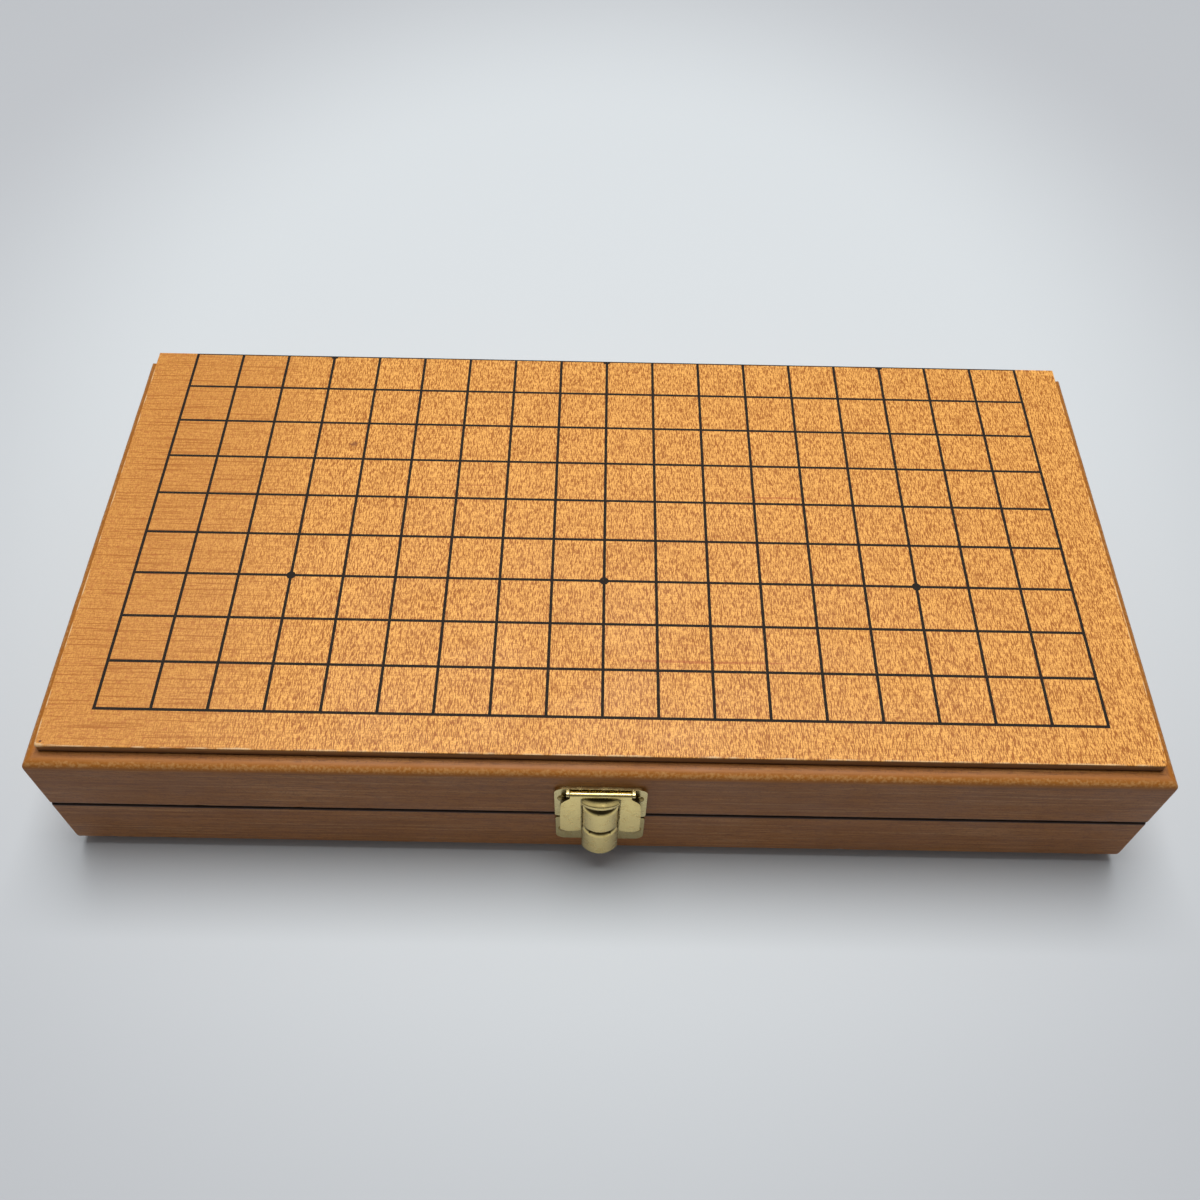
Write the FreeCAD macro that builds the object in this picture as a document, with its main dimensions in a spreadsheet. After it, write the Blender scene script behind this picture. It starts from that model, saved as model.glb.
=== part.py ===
import FreeCAD, Part
import os
import Sketcher

# A folding go board whose two halves are shallow cases. Each half carries nine of the board's
# eighteen rows of squares on a thin plate, set proud on a frame of four mitred rails, and a stone
# drawer slides out of its end. Two butt hinges join the halves at the rear, and a sprung latch
# holds them shut at the front.
#
# Frame of the closed case: +Z up, front (latch) towards -Y, origin at the centre of the underside.
# Each half is drawn in its own frame, with z = 0 on the parting plane and z rising to its board
# plate; the lower half is the same drawing turned half a turn about Y.

LINES_ACROSS = 19
LINES_DEEP = 10
STAR_COLUMNS = (3, 9, 15)
STAR_ROWS = (3, 9)
SHUT = {"upper": 1, "lower": -1}
HINGE_SIDES = {"left": -1, "right": 1}
KNUCKLES = 5
LOWER_KNUCKLES = (0, 2, 4)
UPPER_KNUCKLES = (1, 3)
SPRING_TURNS = 4

SIZES = (
    # board plate and its grid
    ("cell_pitch", 14.8),
    ("line_width", 0.85),
    ("line_depth", 0.15),
    ("star_radius", 1.3),
    ("side_margin", 12.8),
    ("front_margin", 11.3),
    ("plate_thick", 3.2),
    ("plate_corner", 0.9),
    ("plate_ease", 0.4),
    # frame of each half
    ("half_height", 26.0),
    ("parting_gap", 0.4),
    ("ledge_width", 4.0),
    ("rail_width", 10.0),
    ("edge_round", 2.5),
    ("corner_round", 0.8),
    ("parting_round", 0.45),
    ("panel_thick", 2.4),
    ("panel_rabbet", 2.0),
    ("backing_gap", 0.4),
    # drawer and what it runs in
    ("window_lip", 1.3),
    ("guide_width", 4.0),
    ("slide_gap", 0.3),
    ("tail_gap", 1.0),
    ("drawer_side", 4.0),
    ("drawer_ease", 0.5),
    ("floor_thick", 2.0),
    ("floor_groove", 1.5),
    ("floor_rise", 1.4),
    ("finger_radius", 7.0),
    ("drawer_travel", 200.0),
    ("stop_length", 100.0),
    ("stop_width", 6.0),
    ("stop_height", 1.0),
    ("stop_gap", 0.2),
    # butt hinges
    ("fold_gap", 0.1),
    ("hinge_inset", 52.0),
    ("hinge_length", 30.0),
    ("leaf_reach", 7.4),
    ("leaf_thick", 0.8),
    ("knuckle_radius", 1.9),
    ("knuckle_gap", 0.1),
    ("knuckle_relief", 0.3),
    ("hinge_pin_radius", 0.9),
    ("hinge_pin_fit", 0.05),
    ("screw_pitch", 10.0),
    ("screw_reach", 4.7),
    ("screw_head_radius", 1.6),
    ("screw_radius", 1.0),
    ("screw_length", 9.0),
    # latch: plates, hasp sheet and nails
    ("latch_sheet", 0.9),
    ("latch_wide", 24.6),
    ("latch_high", 16.4),
    ("latch_corner", 2.2),
    ("keeper_wide", 24.4),
    ("keeper_high", 14.0),
    ("keeper_corner", 2.6),
    ("hasp_sheet", 0.5),
    ("hasp_gap", 0.1),
    ("hasp_crown", 16.2),
    ("hasp_waist", 20.6),
    ("hasp_waist_high", 12.6),
    ("hasp_spread", 21.6),
    ("hasp_shoulder_high", 6.0),
    ("ear_drop", 4.6),
    ("ear_corner", 1.2),
    ("slot_wide", 10.6),
    ("slot_high", 13.6),
    ("lug_thick", 0.8),
    ("lug_gap", 0.15),
    ("lug_round", 1.0),
    ("nail_spread", 20.4),
    ("nail_high", 11.2),
    ("nail_low", 7.8),
    ("nail_head_radius", 1.3),
    ("nail_head_high", 0.5),
    ("nail_radius", 0.6),
    ("nail_length", 7.0),
    # latch: keeper lip, tongue, pin and spring
    ("lip_wide", 3.6),
    ("lip_low", 3.0),
    ("lip_thick", 0.8),
    ("lip_reach", 1.9),
    ("pin_radius", 0.35),
    ("pin_fit", 0.05),
    ("tongue_wide", 10.0),
    ("tongue_bow", 6.2),
    ("tongue_front", 4.9),
    ("tongue_wall", 0.7),
    ("tongue_back", 1.25),
    ("tongue_crown", 14.4),
    ("tongue_curl", 2.0),
    ("tongue_low", 15.4),
    ("cheek_thick", 0.8),
    ("cheek_deep", 0.9),
    ("groove_depth", 0.75),
    ("groove_high", 11.8),
    ("groove_low", 1.6),
    ("groove_wide", 3.2),
    ("catch_wide", 6.0),
    ("catch_gap", 0.15),
    ("catch_drop", 0.3),
    ("spring_wire", 0.12),
    ("spring_pitch", 0.2),
    ("spring_gap", 0.05),
    ("spring_room", 1.2),
    ("spring_leg", 5.0),
)

# Expressions that several pieces share.
PLATE_WIDE = f"({LINES_ACROSS - 1} * Size.cell_pitch + 2 * Size.side_margin)"
PLATE_DEEP = f"({LINES_DEEP - 1} * Size.cell_pitch + Size.front_margin)"
CASE_WIDE = f"({PLATE_WIDE} + 2 * Size.ledge_width)"
CASE_DEEP = f"({PLATE_DEEP} + Size.ledge_width)"
INNER_WIDE = f"({CASE_WIDE} - 2 * Size.rail_width)"
INNER_DEEP = f"({CASE_DEEP} - 2 * Size.rail_width)"
RAIL_FOOT = "(Size.parting_gap / 2)"
RAIL_TOP = "(Size.half_height - Size.plate_thick)"
PANEL_TOP = f"({RAIL_FOOT} + Size.panel_thick)"
WINDOW_TOP = f"({RAIL_TOP} - Size.edge_round - Size.window_lip)"
WINDOW_DEEP = f"({INNER_DEEP} - 2 * Size.guide_width)"
BACKING_FOOT = f"({WINDOW_TOP} + Size.backing_gap)"
DRAWER_FOOT = f"({PANEL_TOP} + Size.slide_gap)"
DRAWER_TOP = f"({WINDOW_TOP} - Size.slide_gap)"
DRAWER_DEEP = f"({WINDOW_DEEP} - 2 * Size.slide_gap)"
DRAWER_TAIL = f"(-{INNER_WIDE} / 2 + Size.tail_gap)"
FLOOR_FOOT = f"({DRAWER_FOOT} + Size.floor_rise)"
STOP_START = f"({DRAWER_TAIL} + Size.drawer_side + Size.drawer_travel + Size.stop_gap)"
LEAF_FOOT = RAIL_FOOT
RELIEF_RADIUS = "(Size.knuckle_radius + Size.knuckle_relief)"
AXIS_BACK = f"({CASE_DEEP} / 2 + Size.fold_gap)"
SCREW_BACK = f"({AXIS_BACK} - Size.screw_reach)"
CURL_RADIUS = "(Size.pin_radius + Size.pin_fit + Size.hasp_sheet)"
PIN_OUT = f"(Size.latch_sheet + Size.hasp_gap + {CURL_RADIUS})"
PIN_HIGH = f"(Size.latch_high - {CURL_RADIUS})"
HASP_BACK = f"({PIN_OUT} + Size.pin_radius + Size.pin_fit)"
LUG_INNER = "(Size.hasp_crown / 2 + Size.lug_gap)"
LUG_OUTER = f"({LUG_INNER} + Size.lug_thick)"
TONGUE_AXIS = "(Size.tongue_bow - Size.tongue_front)"
CHEEK_FRONT = "(Size.tongue_back + Size.cheek_deep)"
SPRING_RADIUS = "(Size.pin_radius + Size.spring_gap + Size.spring_wire)"

doc = FreeCAD.newDocument("GoBoard")
pieces = []


def fill_sheet():
    """The driving dimensions, one aliased cell each."""
    sheet = doc.addObject("Spreadsheet::Sheet", "Size")
    for row, (alias, value) in enumerate(SIZES, 1):
        sheet.set(f"A{row}", alias)
        sheet.set(f"B{row}", str(value))
        sheet.setAlias(f"B{row}", alias)
    doc.recompute()
    return sheet


def sheet_value(alias):
    """A driving dimension as a plain number, to tell edges apart by."""
    return float(doc.getObject("Size").get(alias))


def bind(thing, **expressions):
    """Tie properties to expressions; a double underscore in a name stands for a dot."""
    for path, text in expressions.items():
        thing.setExpression(path.replace("__", "."), text)


def piece(thing, label):
    """Note a finished sub-part; its label names its file."""
    thing.Label = label
    pieces.append(thing)
    return thing


def stand_in_half(thing, half):
    """Place a thing drawn in a half's frame where that half lies in the closed case."""
    if half == "lower":
        # z points down and x to the left: half a turn about Y
        turn = FreeCAD.Rotation(0, 1, 0, 0)
        thing.Placement = FreeCAD.Placement(FreeCAD.Vector(0, 0, 0), turn)
    bind(thing, Placement__Base__z="Size.half_height")
    return thing


def stand_at(thing, x="0", y="0", z="0"):
    """Place a thing drawn in a frame of its own, without a turn."""
    bind(thing, Placement__Base__x=x, Placement__Base__y=y, Placement__Base__z=z)
    return thing


def stand_at_latch(thing):
    """Latch frame: the front face of the case on the parting plane, with outward as -Y."""
    return stand_at(thing, y=f"-{CASE_DEEP} / 2", z="Size.half_height")


def stand_at_hinge(thing, side):
    """Hinge frame: the middle of the fold axis within one hinge."""
    across = f"{HINGE_SIDES[side]} * ({CASE_WIDE} / 2 - Size.hinge_inset)"
    return stand_at(thing, x=across, y=AXIS_BACK, z="Size.half_height")


# ---- sketches and features ----------------------------------------------------------------


def new_body(name):
    return doc.addObject("PartDesign::Body", name)


def new_sketch(body, plane="XY", offset=None, shift=None):
    """An empty sketch on a body's origin plane, moved along its normal and its first axis."""
    sketch = body.newObject("Sketcher::SketchObject", f"{body.Name}_sketch")
    origin_plane = next(f for f in body.Origin.OriginFeatures if f.Role == f"{plane}_Plane")
    sketch.AttachmentSupport = [(origin_plane, "")]
    sketch.MapMode = "FlatFace"
    if offset:
        bind(sketch, AttachmentOffset__Base__z=offset)
    if shift:
        bind(sketch, AttachmentOffset__Base__x=shift)
    return sketch


def fix_point(sketch, geometry, end, x, y):
    """Hold one point of a sketch at x, y from its origin."""
    for kind, text in (("DistanceX", x), ("DistanceY", y)):
        index = sketch.addConstraint(Sketcher.Constraint(kind, -1, 1, geometry, end, 1.0))
        sketch.setExpression(f"Constraints[{index}]", text)


def polygon(sketch, points):
    """A closed outline of straight lines through points given as pairs of expressions."""
    first = len(sketch.Geometry)
    count = len(points)
    for i in range(count):
        start = FreeCAD.Vector(i, i * i, 0)
        following = (i + 1) % count
        end = FreeCAD.Vector(following, following * following, 0)
        sketch.addGeometry(Part.LineSegment(start, end), False)
    for i in range(count):
        following = first + (i + 1) % count
        sketch.addConstraint(Sketcher.Constraint("Coincident", first + i, 2, following, 1))
    for i, (x, y) in enumerate(points):
        fix_point(sketch, first + i, 1, x, y)


def rectangle(sketch, x_low, x_high, y_low, y_high):
    polygon(sketch, [(x_low, y_low), (x_high, y_low), (x_high, y_high), (x_low, y_high)])


def circle(sketch, x, y, radius):
    index = sketch.addGeometry(
        Part.Circle(FreeCAD.Vector(0, 0, 0), FreeCAD.Vector(0, 0, 1), 1.0), False
    )
    fix_point(sketch, index, 3, x, y)
    held = sketch.addConstraint(Sketcher.Constraint("Radius", index, 1.0))
    sketch.setExpression(f"Constraints[{held}]", radius)


def pad(body, sketch, length, back=False, both=False):
    """Raise a sketch along its normal, against it, or half to each side."""
    feature = body.newObject("PartDesign::Pad", f"{body.Name}_pad")
    feature.Profile = sketch
    feature.SideType = "Symmetric" if both else "One side"
    feature.Reversed = back
    bind(feature, Length=length)
    doc.recompute()
    return feature


def pocket(body, sketch, length=None, along=False, both=False):
    """Sink a sketch against its normal, or along it; with no length, all the way through."""
    feature = body.newObject("PartDesign::Pocket", f"{body.Name}_pocket")
    feature.Profile = sketch
    feature.SideType = "Symmetric" if both else "One side"
    feature.Reversed = along
    if length:
        bind(feature, Length=length)
    else:
        feature.Type = "ThroughAll"
    doc.recompute()
    return feature


def ease(body, radius, chosen):
    """Round the edges of a body's last feature that chosen accepts."""
    tip = body.Tip
    names = [f"Edge{i}" for i, edge in enumerate(tip.Shape.Edges, 1) if chosen(edge)]
    feature = body.newObject("PartDesign::Fillet", f"{body.Name}_round")
    feature.Base = (tip, names)
    bind(feature, Radius=radius)
    doc.recompute()
    return feature


def runs_along(edge, axis):
    """Whether an edge is straight and parallel to the x, y or z axis."""
    if edge.Curve.TypeId != "Part::GeomLine":
        return False
    return abs(getattr(edge.Curve.Direction, axis)) > 0.999


def lies_at(edge, axis, value):
    """Whether both ends of an edge have this coordinate."""
    return all(abs(getattr(vertex.Point, axis) - value) < 1e-4 for vertex in edge.Vertexes)


def highest(body, axis):
    box = body.Tip.Shape.BoundBox
    return getattr(box, f"{axis.upper()}Max")


def lowest(body, axis):
    box = body.Tip.Shape.BoundBox
    return getattr(box, f"{axis.upper()}Min")


def slab(name, x_low, x_high, y_low, y_high, z_low, z_high):
    """A rectangular board between six planes."""
    body = new_body(name)
    sketch = new_sketch(body, offset=z_low)
    rectangle(sketch, x_low, x_high, y_low, y_high)
    pad(body, sketch, f"{z_high} - ({z_low})")
    return body


def cut(name, base, tools):
    """What is left of a base once each tool is taken from it in turn."""
    for i, tool in enumerate(tools):
        less = doc.addObject("Part::Cut", f"{name}_cut_{i}")
        less.Base = base
        less.Tool = tool
        base = less
    return base


def fuse(name, shapes):
    joined = doc.addObject("Part::MultiFuse", name)
    joined.Shapes = shapes
    return joined


def box(name, x, y, z, length, width, height):
    """A block from its lowest corner."""
    block = doc.addObject("Part::Box", name)
    bind(block, Length=length, Width=width, Height=height)
    return stand_at(block, x, y, z)


def cylinder(name, radius, length, axis, x="0", y="0", z="0"):
    """A round bar that starts at x, y, z and runs along an axis given as a vector."""
    bar = doc.addObject("Part::Cylinder", name)
    turn = FreeCAD.Rotation(FreeCAD.Vector(0, 0, 1), FreeCAD.Vector(*axis))
    bar.Placement = FreeCAD.Placement(FreeCAD.Vector(0, 0, 0), turn)
    bind(bar, Radius=radius, Height=length)
    return stand_at(bar, x, y, z)


def cone(name, foot_radius, top_radius, length, axis, x="0", y="0", z="0"):
    """A tapered bar that starts at x, y, z and runs along an axis given as a vector."""
    taper = doc.addObject("Part::Cone", name)
    turn = FreeCAD.Rotation(FreeCAD.Vector(0, 0, 1), FreeCAD.Vector(*axis))
    taper.Placement = FreeCAD.Placement(FreeCAD.Vector(0, 0, 0), turn)
    bind(taper, Radius1=foot_radius, Radius2=top_radius, Height=length)
    return stand_at(taper, x, y, z)


# ---- board plates ---------------------------------------------------------------------------


def grid_lines():
    """The inlaid grid: nineteen lines one way, ten the other, and the star points.

    The tenth line is the board's centre line. It lies on the plate's rear edge, so each half
    has one side of it, and of its three star points.
    """
    rear = f"{CASE_DEEP} / 2"
    left = f"(-{LINES_ACROSS - 1} * Size.cell_pitch / 2)"
    front = f"({rear} - {LINES_DEEP - 1} * Size.cell_pitch)"
    line = "Size.line_width"
    depth = "Size.line_depth"
    foot = f"Size.half_height - {depth}"
    parts = []
    for index in range(LINES_DEEP):
        y = f"{front} + {index} * Size.cell_pitch - {line} / 2"
        width = line if index < LINES_DEEP - 1 else f"{line} / 2"
        length = f"{LINES_ACROSS - 1} * Size.cell_pitch + {line}"
        name = f"row_{index}"
        parts.append(box(name, f"{left} - {line} / 2", y, foot, length, width, depth))
    for index in range(LINES_ACROSS):
        x = f"{left} + {index} * Size.cell_pitch - {line} / 2"
        length = f"{LINES_DEEP - 1} * Size.cell_pitch + {line} / 2"
        name = f"column_{index}"
        parts.append(box(name, x, f"{front} - {line} / 2", foot, line, length, depth))
    for row in STAR_ROWS:
        for column in STAR_COLUMNS:
            x = f"{left} + {column} * Size.cell_pitch"
            y = f"{front} + {row} * Size.cell_pitch"
            name = f"star_{column}_{row}"
            star = cylinder(name, "Size.star_radius", depth, (0, 0, 1), x, y, foot)
            if row == LINES_DEEP - 1:
                # half a star: the half disc on the front side of the rear edge
                star.Angle = 180
                star.Placement.Rotation = FreeCAD.Rotation(FreeCAD.Vector(0, 0, 1), 180)
            parts.append(star)
    grid = fuse("upper_grid", parts)
    return piece(stand_in_half(grid, "upper"), "upper_grid_lines")


def board_plate(grid):
    """The thin veneered plate, eased all round but for the rear edge that meets its twin."""
    blank = slab(
        "plate_blank",
        f"-{PLATE_WIDE} / 2",
        f"{PLATE_WIDE} / 2",
        f"-{CASE_DEEP} / 2 + Size.ledge_width",
        f"{CASE_DEEP} / 2",
        RAIL_TOP,
        "Size.half_height",
    )
    ease(blank, "Size.plate_corner", lambda edge: runs_along(edge, "z"))
    top = highest(blank, "z")
    rear = highest(blank, "y")
    ease(
        blank,
        "Size.plate_ease",
        lambda edge: lies_at(edge, "z", top) and not lies_at(edge, "y", rear),
    )
    stand_in_half(blank, "upper")
    inlaid = cut("upper_board_plate", blank, [grid])
    # the grid's own outline already splits the face, so there is nothing to merge
    inlaid.Refine = False
    return piece(inlaid, "upper_board_plate")


def twin(source, label):
    """The lower half's copy of an upper piece, mirrored in the parting plane."""
    copy = doc.addObject("Part::Mirroring", f"{label}_mirror")
    copy.Source = source
    copy.Normal = FreeCAD.Vector(0, 0, 1)
    bind(copy, Base__z="Size.half_height")
    return piece(copy, label)


# ---- frame of each half -----------------------------------------------------------------------


def rail_blank(name, corners):
    """One mitred rail, cut out of a rounded block as large as the whole frame."""
    body = slab(
        name,
        f"-{CASE_WIDE} / 2",
        f"{CASE_WIDE} / 2",
        f"-{CASE_DEEP} / 2",
        f"{CASE_DEEP} / 2",
        RAIL_FOOT,
        RAIL_TOP,
    )
    top = highest(body, "z")
    foot = lowest(body, "z")
    ease(body, "Size.edge_round", lambda edge: lies_at(edge, "z", top))
    ease(body, "Size.corner_round", lambda edge: runs_along(edge, "z"))
    ease(body, "Size.parting_round", lambda edge: lies_at(edge, "z", foot))
    # everything outside the rail's own mitred outline goes
    sketch = new_sketch(body)
    wide = f"({CASE_WIDE} / 2 + 3 * Size.rail_width)"
    deep = f"({CASE_DEEP} / 2 + 3 * Size.rail_width)"
    rectangle(sketch, f"-{wide}", wide, f"-{deep}", deep)
    polygon(sketch, corners)
    pocket(body, sketch, along=True)
    # rabbet for the inner panel
    sketch = new_sketch(body, offset=RAIL_FOOT)
    x = f"({INNER_WIDE} / 2 + Size.panel_rabbet)"
    y = f"({INNER_DEEP} / 2 + Size.panel_rabbet)"
    rectangle(sketch, f"-{x}", x, f"-{y}", y)
    pocket(body, sketch, "Size.panel_thick", along=True)
    return body


def mitred(x_sign, y_sign):
    """A frame corner's mitre, from well outside the case to the rail's inner corner."""
    outer = (
        f"{x_sign} * ({CASE_WIDE} / 2 + Size.rail_width)",
        f"{y_sign} * ({CASE_DEEP} / 2 + Size.rail_width)",
    )
    inner = (f"{x_sign} * {INNER_WIDE} / 2", f"{y_sign} * {INNER_DEEP} / 2")
    return outer, inner


def rail_outline(first, second):
    """The four corners of a rail between two frame corners."""
    outer_a, inner_a = mitred(*first)
    outer_b, inner_b = mitred(*second)
    return [outer_a, outer_b, inner_b, inner_a]


def front_rail(half, nails):
    body = rail_blank(f"{half}_front_rail_blank", rail_outline((-1, -1), (1, -1)))
    stand_in_half(body, half)
    return piece(cut(f"{half}_front_rail", body, [nails]), f"{half}_front_rail")


def rear_rail(half, screws):
    """The rail with the hinge recesses, the relief round the knuckles and the screw holes."""
    body = rail_blank(f"{half}_rear_rail_blank", rail_outline((-1, 1), (1, 1)))
    for side in HINGE_SIDES.values():
        middle = f"{side} * ({CASE_WIDE} / 2 - Size.hinge_inset)"
        sketch = new_sketch(body, offset=LEAF_FOOT)
        rectangle(
            sketch,
            f"{middle} - Size.hinge_length / 2",
            f"{middle} + Size.hinge_length / 2",
            f"{AXIS_BACK} - Size.leaf_reach",
            f"{AXIS_BACK} + Size.leaf_reach",
        )
        pocket(body, sketch, "Size.leaf_thick", along=True)
        start = f"{middle} - Size.hinge_length / 2 - Size.knuckle_relief"
        sketch = new_sketch(body, "YZ", offset=start)
        circle(sketch, AXIS_BACK, "0", RELIEF_RADIUS)
        pocket(body, sketch, "Size.hinge_length + 2 * Size.knuckle_relief", along=True)
    stand_in_half(body, half)
    return piece(cut(f"{half}_rear_rail", body, [screws]), f"{half}_rear_rail")


def closed_rail(half):
    body = rail_blank(f"{half}_closed_rail_body", rail_outline((-1, -1), (-1, 1)))
    return piece(stand_in_half(body, half), f"{half}_closed_end_rail")


def window_rail(half):
    """The end rail with the window that the drawer slides through."""
    body = rail_blank(f"{half}_window_rail_body", rail_outline((1, -1), (1, 1)))
    sketch = new_sketch(body, "YZ", offset=f"{CASE_WIDE} / 2 + Size.rail_width")
    rectangle(sketch, f"-{WINDOW_DEEP} / 2", f"{WINDOW_DEEP} / 2", PANEL_TOP, WINDOW_TOP)
    pocket(body, sketch, "3 * Size.rail_width")
    return piece(stand_in_half(body, half), f"{half}_window_rail")


def inner_boards(half):
    """The panel on the parting face, the backing under the plate and the drawer's guides."""
    x = f"({INNER_WIDE} / 2)"
    y = f"({INNER_DEEP} / 2)"
    lap = "Size.panel_rabbet"
    panel = slab(
        f"{half}_inner_panel_body",
        f"-{x} - {lap}",
        f"{x} + {lap}",
        f"-{y} - {lap}",
        f"{y} + {lap}",
        RAIL_FOOT,
        PANEL_TOP,
    )
    piece(stand_in_half(panel, half), f"{half}_inner_panel")
    backing = slab(f"{half}_backing_body", f"-{x}", x, f"-{y}", y, BACKING_FOOT, RAIL_TOP)
    piece(stand_in_half(backing, half), f"{half}_backing_panel")
    guides = {
        "front": (f"-{y}", f"-{WINDOW_DEEP} / 2"),
        "rear": (f"{WINDOW_DEEP} / 2", y),
    }
    for side, (y_low, y_high) in guides.items():
        guide = slab(
            f"{half}_{side}_guide_body", f"-{x}", x, y_low, y_high, PANEL_TOP, BACKING_FOOT
        )
        piece(stand_in_half(guide, half), f"{half}_{side}_guide")
    stop = slab(
        f"{half}_stop_body",
        STOP_START,
        f"{STOP_START} + Size.stop_width",
        "-Size.stop_length / 2",
        "Size.stop_length / 2",
        PANEL_TOP,
        f"{PANEL_TOP} + Size.stop_height",
    )
    piece(stand_in_half(stop, half), f"{half}_drawer_stop")


# ---- drawers ----------------------------------------------------------------------------------


def floor_groove(body):
    """The groove that holds the drawer floor, as wide and as high as the floor itself."""
    sketch = new_sketch(body, offset=FLOOR_FOOT)
    x_low, x_high, y = floor_outline()
    rectangle(sketch, x_low, x_high, f"-{y}", y)
    pocket(body, sketch, "Size.floor_thick", along=True)


def floor_outline():
    """The drawer floor's two ends and its half width, grooves included."""
    x_low = f"({DRAWER_TAIL} + Size.drawer_side - Size.floor_groove)"
    x_high = f"({INNER_WIDE} / 2 + Size.floor_groove)"
    y = f"({DRAWER_DEEP} / 2 - Size.drawer_side + Size.floor_groove)"
    return x_low, x_high, y


def drawer_front(half):
    """The front, flush with the case's end, with a half-round finger notch in its top edge."""
    y = f"({DRAWER_DEEP} / 2)"
    x_high = f"{CASE_WIDE} / 2"
    x_low = f"{INNER_WIDE} / 2"
    body = slab(f"{half}_drawer_front_body", x_low, x_high, f"-{y}", y, DRAWER_FOOT, DRAWER_TOP)
    face = highest(body, "x")
    floor_groove(body)
    sketch = new_sketch(body, "YZ", offset=f"{CASE_WIDE} / 2 + Size.rail_width")
    circle(sketch, "0", DRAWER_TOP, "Size.finger_radius")
    pocket(body, sketch, "3 * Size.rail_width")
    ease(body, "Size.drawer_ease", lambda edge: lies_at(edge, "x", face))
    return piece(stand_in_half(body, half), f"{half}_drawer_front")


def drawer_box(half):
    """The drawer behind its front: two sides, a back and a floor in grooves."""
    inner = f"({DRAWER_DEEP} / 2 - Size.drawer_side)"
    outer = f"({DRAWER_DEEP} / 2)"
    front = f"{INNER_WIDE} / 2"
    sides = {"front": (f"-{outer}", f"-{inner}"), "rear": (inner, outer)}
    for side, (y_low, y_high) in sides.items():
        name = f"{half}_drawer_side_{side}"
        body = slab(f"{name}_body", DRAWER_TAIL, front, y_low, y_high, DRAWER_FOOT, DRAWER_TOP)
        ease_top(body, "x")
        floor_groove(body)
        piece(stand_in_half(body, half), name)
    tail = f"{DRAWER_TAIL} + Size.drawer_side"
    back = slab(
        f"{half}_drawer_back_body", DRAWER_TAIL, tail, f"-{inner}", inner, DRAWER_FOOT, DRAWER_TOP
    )
    ease_top(back, "y")
    floor_groove(back)
    piece(stand_in_half(back, half), f"{half}_drawer_back")
    x_low, x_high, y = floor_outline()
    floor = slab(
        f"{half}_drawer_floor_body",
        x_low,
        x_high,
        f"-{y}",
        y,
        FLOOR_FOOT,
        f"{FLOOR_FOOT} + Size.floor_thick",
    )
    piece(stand_in_half(floor, half), f"{half}_drawer_floor")


def ease_top(body, axis):
    """Round a board's two long upper edges, which run along an axis."""
    top = highest(body, "z")
    ease(body, "Size.drawer_ease", lambda edge: lies_at(edge, "z", top) and runs_along(edge, axis))


# ---- hinges -----------------------------------------------------------------------------------


def hinge_screws(half):
    """Countersunk screws through both hinges' leaves into a half's rear rail."""
    shut = SHUT[half]
    axis = (0, 0, shut)
    face = f"Size.half_height + {shut} * {LEAF_FOOT}"
    parts = []
    for side, sign in HINGE_SIDES.items():
        for place in (-1, 0, 1):
            x = f"{sign} * ({CASE_WIDE} / 2 - Size.hinge_inset) + {place} * Size.screw_pitch"
            name = f"{half}_{side}_screw_{place + 1}"
            head = cone(
                f"{name}_head",
                "Size.screw_head_radius",
                "Size.screw_radius",
                "Size.leaf_thick",
                axis,
                x,
                SCREW_BACK,
                face,
            )
            shank = cylinder(
                f"{name}_shank", "Size.screw_radius", "Size.screw_length", axis, x, SCREW_BACK, face
            )
            parts += [head, shank]
    return piece(fuse(f"{half}_hinge_screws", parts), f"{half}_hinge_screws")


def hinge_leaf(half, side, own_knuckles, screws):
    """A leaf let into its rail, with the knuckles that belong to it."""
    shut = SHUT[half]
    body = new_body(f"{half}_{side}_leaf_blank")
    foot = LEAF_FOOT if shut > 0 else f"-{LEAF_FOOT} - Size.leaf_thick"
    length = "Size.hinge_length"
    sketch = new_sketch(body, offset=foot)
    rectangle(sketch, f"-{length} / 2", f"{length} / 2", "-Size.leaf_reach", f"-{RELIEF_RADIUS}")
    pad(body, sketch, "Size.leaf_thick")
    knuckle = f"{length} / {KNUCKLES}"
    for index in own_knuckles:
        start = f"({index} * {knuckle} - {length} / 2 + Size.knuckle_gap / 2)"
        end = f"({index + 1} * {knuckle} - {length} / 2 - Size.knuckle_gap / 2)"
        sketch = new_sketch(body, offset=foot)
        rectangle(sketch, start, end, f"-{RELIEF_RADIUS}", "0")
        pad(body, sketch, "Size.leaf_thick")
        sketch = new_sketch(body, "YZ", offset=start)
        circle(sketch, "0", "0", "Size.knuckle_radius")
        pad(body, sketch, f"{end} - {start}")
    sketch = new_sketch(body, "YZ")
    circle(sketch, "0", "0", "Size.hinge_pin_radius + Size.hinge_pin_fit")
    pocket(body, sketch, "2 * Size.hinge_length", both=True)
    stand_at_hinge(body, side)
    name = f"{side}_hinge_{half}_leaf"
    return piece(cut(name, body, [screws]), name)


def hinge_pin(side):
    start = f"{HINGE_SIDES[side]} * ({CASE_WIDE} / 2 - Size.hinge_inset) - Size.hinge_length / 2"
    name = f"{side}_hinge_pin"
    pin = cylinder(
        f"{name}_bar",
        "Size.hinge_pin_radius",
        "Size.hinge_length",
        (1, 0, 0),
        start,
        AXIS_BACK,
        "Size.half_height",
    )
    return piece(pin, name)


# ---- latch ------------------------------------------------------------------------------------


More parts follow.
